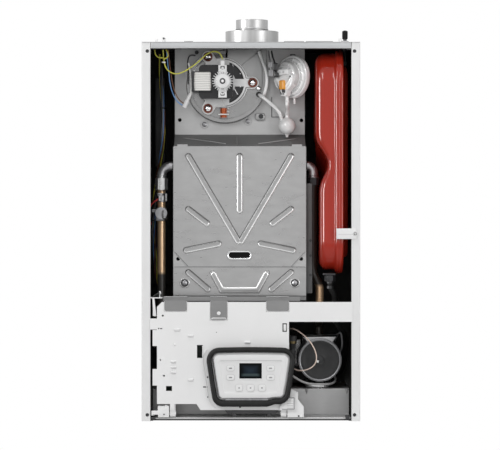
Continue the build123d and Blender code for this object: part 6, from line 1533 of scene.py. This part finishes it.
class BOILER_OT_panel(bpy.types.Operator):
    """Adds the round rubber gasket, the stepped fascia, the display and each button's outline."""

    bl_idname = "boiler.panel"
    bl_label = "Panel"

    def execute(self, context):
        turn = np.linspace(np.pi, 0, 11)
        profile = [(0, 281.9)] + [(0.5 - 0.5 * np.cos(np.pi - a), 295.2 + 4.2 * np.sin(a)) for a in turn]
        profile += [(1, 281.9)]
        sizes = context.scene.boiler_sizes
        inner = sizes.gasket_width / MM - 0.4
        gasket = looped("gasket_ring", panel_outline(-0.4, 4.5), panel_outline(inner, 3, 3), profile,
                        "rubber")
        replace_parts(gasket, "fascia_gasket")
        steps = [(inner - 0.3, 283), (inner - 0.3, 291), (inner + 0.4, 292.6), (12, 295.2), (12.8, 297),
                 (13.8, 297.5), (22.2, 297.5), (22.9, 297.3), (23.4, 296.5), (24.2, 296.2), (30, 296.2)]
        rings = [facing(panel_outline(shrink, 2.5, 3), depth) for shrink, depth in steps]
        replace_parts(shell("fascia_skin", rings, "fascia", CONTROL, sharp=35), "fascia")
        x = np.linspace(-58.5, 58.5, 40)
        crown = 110.6 + 2 * (1 - (x / 84.2)**2)
        tube("fascia_line", np.stack([x, np.full(40, -296.9), crown], 1), 0.6, "outline", 8, CONTROL)
        # bevel_line and bevel_strip are a dark and a grey line down the fascia's left step: painted shade
        for name, shrink, depth, radius, finish in (
                ("bevel_line", 11.2, 295, 0.8, "shade"), ("bevel_strip", 12.9, 296.7, 0.9, "plug_grey")):
            edge = panel_outline(shrink, 2.5, 3)
            edge = edge[(edge[:, 0] < -46) & (edge[:, 1] > 44) & (edge[:, 1] < 117)]
            edge = edge[np.argsort(edge[:, 1])]
            tube(name, facing(edge, depth), radius, finish, 8, CONTROL)
        # panel_shelf and panel_shelf_line are a grey strip and a dark line at the fascia's lower step:
        # painted shade
        slab("panel_shelf", rectangle(-46.7, 31.5, 39.4, 43, 0.8), 290, 296.4, 0.5, "plug_grey", CONTROL)
        slab("panel_shelf_line", rectangle(-46.7, 54, 42.8, 43.9, 0.4), 290, 297, 0.3, "shade", CONTROL)
        (left, right), (low, high) = DISPLAY
        window = rectangle(left, right, low, high, 0.8)
        slab("display_glass", window, 295.5, 296.7, 0.3, "display", CONTROL)
        looped("display_bezel", inset(window, -1.6), window,
               [(0, 296), (0, 296.8), (0.5, 297.2), (1, 296.9), (1, 296)], "key")
        for number, (place, size) in enumerate(KEYS, 1):
            outer = key_outline(place, size, 0.45 + sizes.key_line / MM)
            looped(f"key_outline_{number}", outer, key_outline(place, size, 0.45),
                   [(0, 296), (0, 296.4), (1, 296.4), (1, 296)], "pale_line")
            reach = 1.6 if number > 4 else 3
            slab(f"key_mark_{number}", centred(*place, 2 * reach, 2.4, 1.1), 298.1, 298.3, 0.05, "soft_mark",
                 f"key_{number}")
        return {"FINISHED"}


class BOILER_OT_box(bpy.types.Operator):
    """Adds the control box's clips, bosses, slot lips, hinge arms and the groove round its panel."""

    bl_idname = "boiler.box"
    bl_label = "Control box"

    def execute(self, context):
        plate = 281.8
        places = [(177, 329.5, 12, 5), (190.5, 335.6, 11, 4.6), (173.4, 361.6, 10, 4.4),
                  (173.4, 367, 10, 4.4), (173.4, 372.4, 10, 4.4), (190.5, 379.6, 11, 4.6),
                  (247.5, 342.4, 11, 4), (174.6, 344.5, 4, 3)]
        for number, (column, row, wide, high) in enumerate(places, 1):
            x, z = front_x(column, plate), front_z(row, plate)
            slab(f"plate_boss_{number}", centred(x, z, wide, high, high * 0.4), plate - 0.2, plate + 3.4, 1.8,
                 "plastic", CONTROL)
            # a pale grey line under each boss: painted shadow
            foot = centred(x, z - high / 2 - 0.5, wide - 2, 0.8, 0.3)
            slab(f"plate_boss_shadow_{number}", foot, plate - 0.2, plate + 0.2, 0.1, "pale_line", CONTROL)
        # a dark rim behind the clip: painted shadow
        frame_brick("edge_clip_shadow", (282.4, 287), (323.2, 331.8), plate - 0.6, plate + 0.3, 0.4, "shade",
                    CONTROL)
        frame_brick("edge_clip", (283.6, 286.2), (324.4, 330.8), plate - 0.6, plate + 1.8, 0.8, "plastic",
                    CONTROL)
        slab("slot_lip", rectangle(-88.9, -87.2, 116.5, 138.5, 0.6), plate - 2, plate + 1.6, 0.5, "plastic",
             CONTROL)
        # plate_pinhole is a dark disc for a hole: painted shade
        for name, column, row, radius in (
                ("plate_pinhole", 216.5, 332.3, 0.8), ("plate_dot_side", 207.6, 377.2, 1.7),
                ("plate_dot_foot", 240, 407, 1.8)):
            slab(name, circle(front_x(column, plate), front_z(row, plate), radius, 20), plate, plate + 0.15,
                 0.05, "shade", CONTROL)
        groove = panel_outline(-7.5)
        reach = np.linalg.norm(np.diff(np.vstack([groove, groove[:1]]), axis=0), axis=1)
        keep = (groove[:, 0] < -58) & (groove[:, 1] > 16) | (groove[:, 0] < -40) & (groove[:, 1] < 40)
        left = groove[keep & (reach > 1e-6)]
        left = left[np.argsort(-left[:, 1] + 0.2 * left[:, 0])]
        left = left[(left[:, 1] < 132) & (left[:, 1] > 22.5)]
        tube("panel_groove", np.stack([left[:, 0], np.full(len(left), -plate - 0.1), left[:, 1]], 1), 0.8,
             "plastic", 8, CONTROL)
        boss = rounded([(52.6, 22), (78.4, 20.2), (78.4, 43), (69, 43), (52.6, 29)], 1.2)
        slab("knuckle_shell", boss, plate - 1, plate + 6.2, 1.4, "plastic", CONTROL)
        # the grey lines on the knuckle's ribs and along its edges are painted shade
        for number, level in enumerate((24.4, 28.8, 33.2, 37.6), 1):
            slab(f"knuckle_rib_{number}", rectangle(66, 77.4, level - 0.5, level + 0.5, 0.3), plate + 6,
                 plate + 6.6, 0.2, "outline", CONTROL)
        edge = [(289.5, 397.7), (294.3, 397.7), (294.3, 409.3), (282, 409.3)]
        for number, (start, end) in enumerate(zip(edge, edge[1:]), 1):
            ends = [(front_x(column, 288), -plate - 6.3, front_z(row, 288)) for column, row in (start, end)]
            rod(f"knuckle_line_{number}", *ends, 0.7, "plug_grey", body=CONTROL)
        arm = rounded([(-183.6, 224.6), (-162, 224.6), (-162, 227.4), (-165.2, 227.4), (-165.2, 238),
                       (-168.2, 238), (-168.2, 227.4), (-183.6, 227.4)], 0.8, 5)
        slab("latch_bar", arm, 276, 280.4, 0.8, "plastic")
        leg = rounded([(-180.4, 226), (-176.8, 226), (-172.8, 192.6), (-175.6, 191.6), (-178.8, 192.6)], 0.8,
                      5)
        slab("latch_leg", leg, 276, 280, 0.8, "plastic")
        hinge = rounded([(-182, 11), (-171, 11), (-170.5, 8.2), (-150.6, 8.2), (-150.6, 27.6), (-156, 30),
                         (-162.5, 24), (-170.5, 29), (-170.5, 19), (-182, 19)], 1, 5)
        slab("hinge_block", hinge, 270, 280.2, 1, "plastic")
        for name, place, radius in (
                ("hinge_pin_left", (-159, -280.2, 12.4), 1.4), ("hinge_pin_right", (87.4, -279.6, 9.4), 1.6)):
            turned(name, place, TOWARDS, [(radius, -0.3), (radius, 0.25), (0.2, 0.25)], "black", 20)
        return {"FINISHED"}


# ------------------------------------------------------------------ pump bay and tray

PUMP = (128.5, 107.8)
GAUGE = (78, -196)


PUMP_PIPES = {
    "gauge_branch": (5.5, "bay", [
        (78, -196, 131), (78, -196, 118), (78, -184, 111), (78, -140, 109), (78, -108, 96), (78, -92, 84)]),
    "drain_pipe": (4, "steel", [(104, -112, 64), (104, -150, 61), (105, -186, 60), (110, -196, 59),
                                (136, -197, 58.5), (142, -190, 58.5), (144, -150, 60), (144, -112, 64)]),
    "pump_strap": (1.7, "grey_wire", [
        (156, -140, 136), (163, -168, 156), (168, -187, 159), (170.6, -188, 143), (170, -186, 129),
        (166, -170, 118), (160, -150, 112)]),
}


class BOILER_OT_pump(bpy.types.Operator):
    """Adds the pump's rounded ring, its neck, its bare dark face and the parts round it."""

    bl_idname = "boiler.pump"
    bl_label = "Pump"

    def execute(self, context):
        turn = np.linspace(-0.35 * np.pi, 1.1 * np.pi, 18)
        ring = [(37.9 + 2.4 * np.cos(a), 203 + 3 * np.sin(a)) for a in turn] + [(35.6, 199), (37, 196)]
        turned("pump_ring", (PUMP[0], 0, PUMP[1]), TOWARDS, ring, "ring", 120, loop=True, sharp=60)
        face = [(0.5, 204.2), (7.4, 204.2), (8, 204.5), (8.6, 204.2), (30.6, 204.2), (31.2, 204.4),
                (34, 204.4), (34.2, 205.2), (35.8, 205.2), (35.8, 200), (0.5, 200)]
        turned("pump_face", (PUMP[0], 0, PUMP[1]), TOWARDS, face, "face", 96, loop=True, sharp=50)
        neck = rounded(
            [(96.6, 152.5), (94.4, 150.6), (99.5, 147), (103.4, 141), (101.5, 133), (94, 124), (128.5, 108),
             (163, 124), (155.5, 133), (153.8, 141), (158, 147.6), (163.4, 151.2), (161, 153)], 2, 5)
        slab("pump_neck", neck, 150, 198.6, 2.4, "cast")
        slot_profile = [(0.3, 204), (6, 204), (6, 205), (4.4, 205.3), (0.3, 205.3)]
        turned("pump_vent", (PUMP[0] - 0.5, 0, PUMP[1] + 1), TOWARDS, slot_profile, "black", 40)
        fitting = thread(6.6, 128, 142) + [(6, 142.5), (7.6, 143), (7.6, 152), (5, 153), (1, 153)]
        turned("gauge_fitting", (*GAUGE, 0), UP, [(1, 128)] + fitting, "bay", 40)
        nut("gauge_nut", GAUGE, 138, 151, 12.4, "old_brass")
        lay(PUMP_PIPES)
        tube("capillary_tie", [(123, -229.4, 104.6), (123.6, -229.6, 106.6), (124, -229.4, 108.4)], 2.1,
             "white_wire", 16)
        for number, x in enumerate((103.6, 178.4), 1):
            gusset = rounded([(x - 3.6, 54.6), (x + 3.6, 54.6), (x + 0.6, 45), (x - 0.6, 45)], 0.8, 5)
            slab(f"tray_gusset_{number}", gusset, 204.8, 207, 0.9, "zinc_dark")
        slab("tray_edge", rectangle(-181.5, 181.5, 4.4, 6.2, 0.6), 268.4, 270.4, 0.5, "zinc")
        slab("tray_shadow", rectangle(-181.5, 181.5, 0.8, 3.4, 0.6), 268, 272.4, 0.4, "black")
        # under_lip and its posts are dark slabs of painted shade under the tray's front lip
        slab("under_lip", rounded([(-49, 20), (52, 20), (46, 13), (-43, 13)], 1.5, 5), 262, 270, 1, "shade")
        for name, x in (("left", -30), ("right", 33)):
            brick(f"under_lip_post_{name}", (x - 3, -268, 7), (x + 3, -264, 14), 1, "shade")
        for number, (x, radius) in enumerate(zip((-130, -65, 0, 65, 130), (13.2, 10.5, 13.2, 10.5, 13.2)), 1):
            profile = [(7.6, 8), (radius - 1.2, 8)] + thread(radius + 0.2, 9, 27) + [(radius, 28), (7.6, 28)]
            turned(f"tail_thread_{number}", (x, -90, 0), UP, profile, "brass", 48, loop=True, sharp=20)
        return {"FINISHED"}


# ------------------------------------------------------------------ wiring

LOOM = [(-172, -120, 682), (-171, -122, 640), (-167, -129, 598), (-165, -134, 556), (-166, -138, 514),
        (-172, -136, 472), (-180, -130, 430), (-184, -126, 388), (-184, -124, 346), (-182, -124, 304),
        (-178, -126, 262), (-168, -131, 226), (-148, -139, 202), (-120, -147, 186), (-99, -150, 170),
        (-92, -150, 155), (-92, -150, 140)]
LEADS = {
    "earth_lead": (1.15, "earth", [
        (-162.1, -246, 682), (-161.5, -243, 668), (-159.5, -240, 654), (-153, -237, 643), (-140, -235, 637),
        (-125, -235, 641), (-111, -236, 650), (-97, -238, 660), (-85, -240, 672), (-73, -242, 679),
        (-62, -242, 679), (-54.5, -240, 673), (-52.4, -236, 665)]),
    "blue_lead": (1, "blue_wire", [
        (-156, -232, 682), (-155, -225, 664), (-152.5, -217, 645), (-151, -212, 625), (-147, -210, 607),
        (-140, -209, 592), (-131, -209, 583), (-124, -209, 580)]),
    "brown_lead": (0.95, "brown_wire", [
        (-152.5, -234, 682), (-151.8, -227, 664), (-149, -219, 646), (-147, -215, 628), (-143, -212, 610),
        (-136.5, -211, 596), (-129, -211, 587), (-122.5, -211, 584)]),
    "white_sleeve": (1.9, "white_wire", [(-112, -212, 602.5), (-110.5, -212, 612), (-110.5, -212, 624),
                                         (-111.5, -211.5, 636), (-113.5, -211, 648), (-116, -210, 660)]),
    "gauge_capillary": (1.15, "capillary", [
        (40.3, -150, 148), (51, -151, 149), (60, -174, 158), (70, -200, 166), (80, -219, 167),
        (93, -227, 159), (108, -228, 146), (119, -228, 128), (122.5, -228, 110), (116, -228, 97),
        (102, -228, 90), (87, -224, 89), (78, -208, 93), (73, -186, 99), (69, -164, 103), (65, -143, 102),
        (62, -126, 97), (62, -126, 90)]),
    "pump_lead": (2, "pale_wire", [
        (40.3, -165, 100), (50, -166, 100), (59, -181, 96), (66, -198, 90), (71, -210, 84), (82, -221, 76),
        (96, -225, 68), (112, -225, 64), (130, -221, 64), (145, -212, 63), (155, -199, 65), (159, -186, 72),
        (155.6, -178, 78.6)]),
    "sensor_lead": (1, "red_wire", [
        (-168.9, -204.5, 409), (-175, -204.5, 407), (-183, -196, 400), (-188, -184, 392), (-190, -170, 382),
        (-190, -154, 371), (-188, -140, 360)]),
    "earth_loop_left": (1.1, "earth", [(-177.5, -246, 682), (-177, -246, 674), (-172.5, -246, 668.5),
                                       (-166.5, -246, 666.8), (-161.5, -246, 667.5)]),
    "earth_loop_right": (1.1, "earth", [
        (-156.5, -246, 682), (-152.5, -246, 675), (-153, -246, 669), (-157, -246, 665.5), (-161, -246, 665)]),
    "black_lead_fan": (1.2, "black_wire", [
        (-104, -176, 676), (-112, -178, 678), (-117.5, -180, 672), (-118.5, -182, 660), (-117, -184, 645),
        (-117.5, -184, 622)]),
}
LOOM_WIRES = (("loom_black", 1.5, "black_wire", 0), ("loom_earth", 1.3, "earth", 1.25),
              ("loom_brown", 1.3, "brown_wire", 2.5), ("loom_blue", 1.2, "blue_wire", 3.75),
              ("loom_dark", 1.5, "grey_wire", 5))


def bundled(route, reach, start, twist):
    """A wire's path in a bundle: the bundle's smooth path, moved out by reach and turning once per twist."""
    path = smooth_path(route)
    way = np.gradient(path, axis=0)
    way /= np.linalg.norm(way, axis=1, keepdims=True)
    side = np.cross(way, [0, 1, 0.3])
    side /= np.linalg.norm(side, axis=1, keepdims=True)
    over = np.cross(way, side)
    run = distances(path)
    angle = (start + 2 * np.pi * run / twist + 0.5 * np.sin(run / 23 + start))[:, None]
    return path + reach * (np.cos(angle) * side + np.sin(angle) * over)


class BOILER_OT_wiring(bpy.types.Operator):
    """Adds the leads, the loom's twisted wires, the white plug and the cable ties."""

    bl_idname = "boiler.wiring"
    bl_label = "Wiring"

    def execute(self, context):
        for name, (radius, finish, route) in LEADS.items():
            piece = wire(name, route, radius, finish)
            if name == "earth_lead":
                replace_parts(piece, "wiring_loom")
        for name, radius, finish, start in LOOM_WIRES:
            path = bundled(LOOM, context.scene.boiler_sizes.loom_reach / MM, start, 210)
            tube(name, path, radius, finish, 10)
        start, end = np.array([-124.3, -210, 577.5]), np.array([-112, -212, 603])
        way = (end - start) / np.linalg.norm(end - start)
        plug = [(1, 0), (4.1, 0), (4.3, 1), (4.3, 14), (3.4, 15), (3.4, 20), (2.9, 28), (1, 28.3)]
        turned("fan_plug", start, way, plug, "plastic", 8, sharp=25)
        for number, (centre, axis, reach) in enumerate((((-160.9, -241.5, 659), (0.1, 0, 1), 3.6), (
                (-168, -133, 497), (0.1, 0, 1), 6.2), ((-166, -131, 580), (0.1, 0, 1), 5.6)), 1):
            tie = belted(reach - 0.9, reach, 0, 1.3, 0.3)
            turned(f"cable_tie_{number}", centre, axis, tie, "white_wire" if number == 1 else "shade", 32,
                   loop=True)
        slab("left_rail", rectangle(-182.5, -164.5, 470, 640, 2), 1, 84, 1.5, "rail")
        return {"FINISHED"}


class BOILER_PT_sidebar(bpy.types.Panel):
    """Lists the boiler's settings and its building steps."""

    bl_idname = "BOILER_PT_sidebar"
    bl_label = "Combi boiler"
    bl_space_type = "VIEW_3D"
    bl_region_type = "UI"
    bl_category = "Boiler"

    def draw(self, context):
        for settings in (context.scene.boiler_sizes, context.scene.boiler_colours):
            box = self.layout.box()
            for setting in type(settings).__annotations__:
                box.prop(settings, setting)
        for step in STEPS:
            self.layout.operator(f"boiler.{step}")


CLASSES = [BoilerSizes, BoilerColours, BOILER_PT_sidebar, BOILER_OT_stage, BOILER_OT_finishes,
           BOILER_OT_casing, BOILER_OT_flue, BOILER_OT_fan, BOILER_OT_chamber, BOILER_OT_vessel,
           BOILER_OT_switch, BOILER_OT_tubes, BOILER_OT_pipes, BOILER_OT_panel, BOILER_OT_box, BOILER_OT_pump,
           BOILER_OT_wiring]
STEPS = ["stage", "finishes", "casing", "flue", "fan", "chamber", "vessel", "switch", "tubes", "pipes",
         "panel", "box", "pump", "wiring"]


def register():
    """Registers the classes and hangs the settings on the scene."""
    for item in CLASSES:
        bpy.utils.register_class(item)
    bpy.types.Scene.boiler_sizes = bpy.props.PointerProperty(type=BoilerSizes)
    bpy.types.Scene.boiler_colours = bpy.props.PointerProperty(type=BoilerColours)


def unregister():
    """Takes the classes away again."""
    del bpy.types.Scene.boiler_colours
    del bpy.types.Scene.boiler_sizes
    for item in reversed(CLASSES):
        bpy.utils.unregister_class(item)


def main():
    """Builds everything in order."""
    register()
    for step in STEPS:
        getattr(bpy.ops.boiler, step)()


if __name__ == "__main__":
    main()
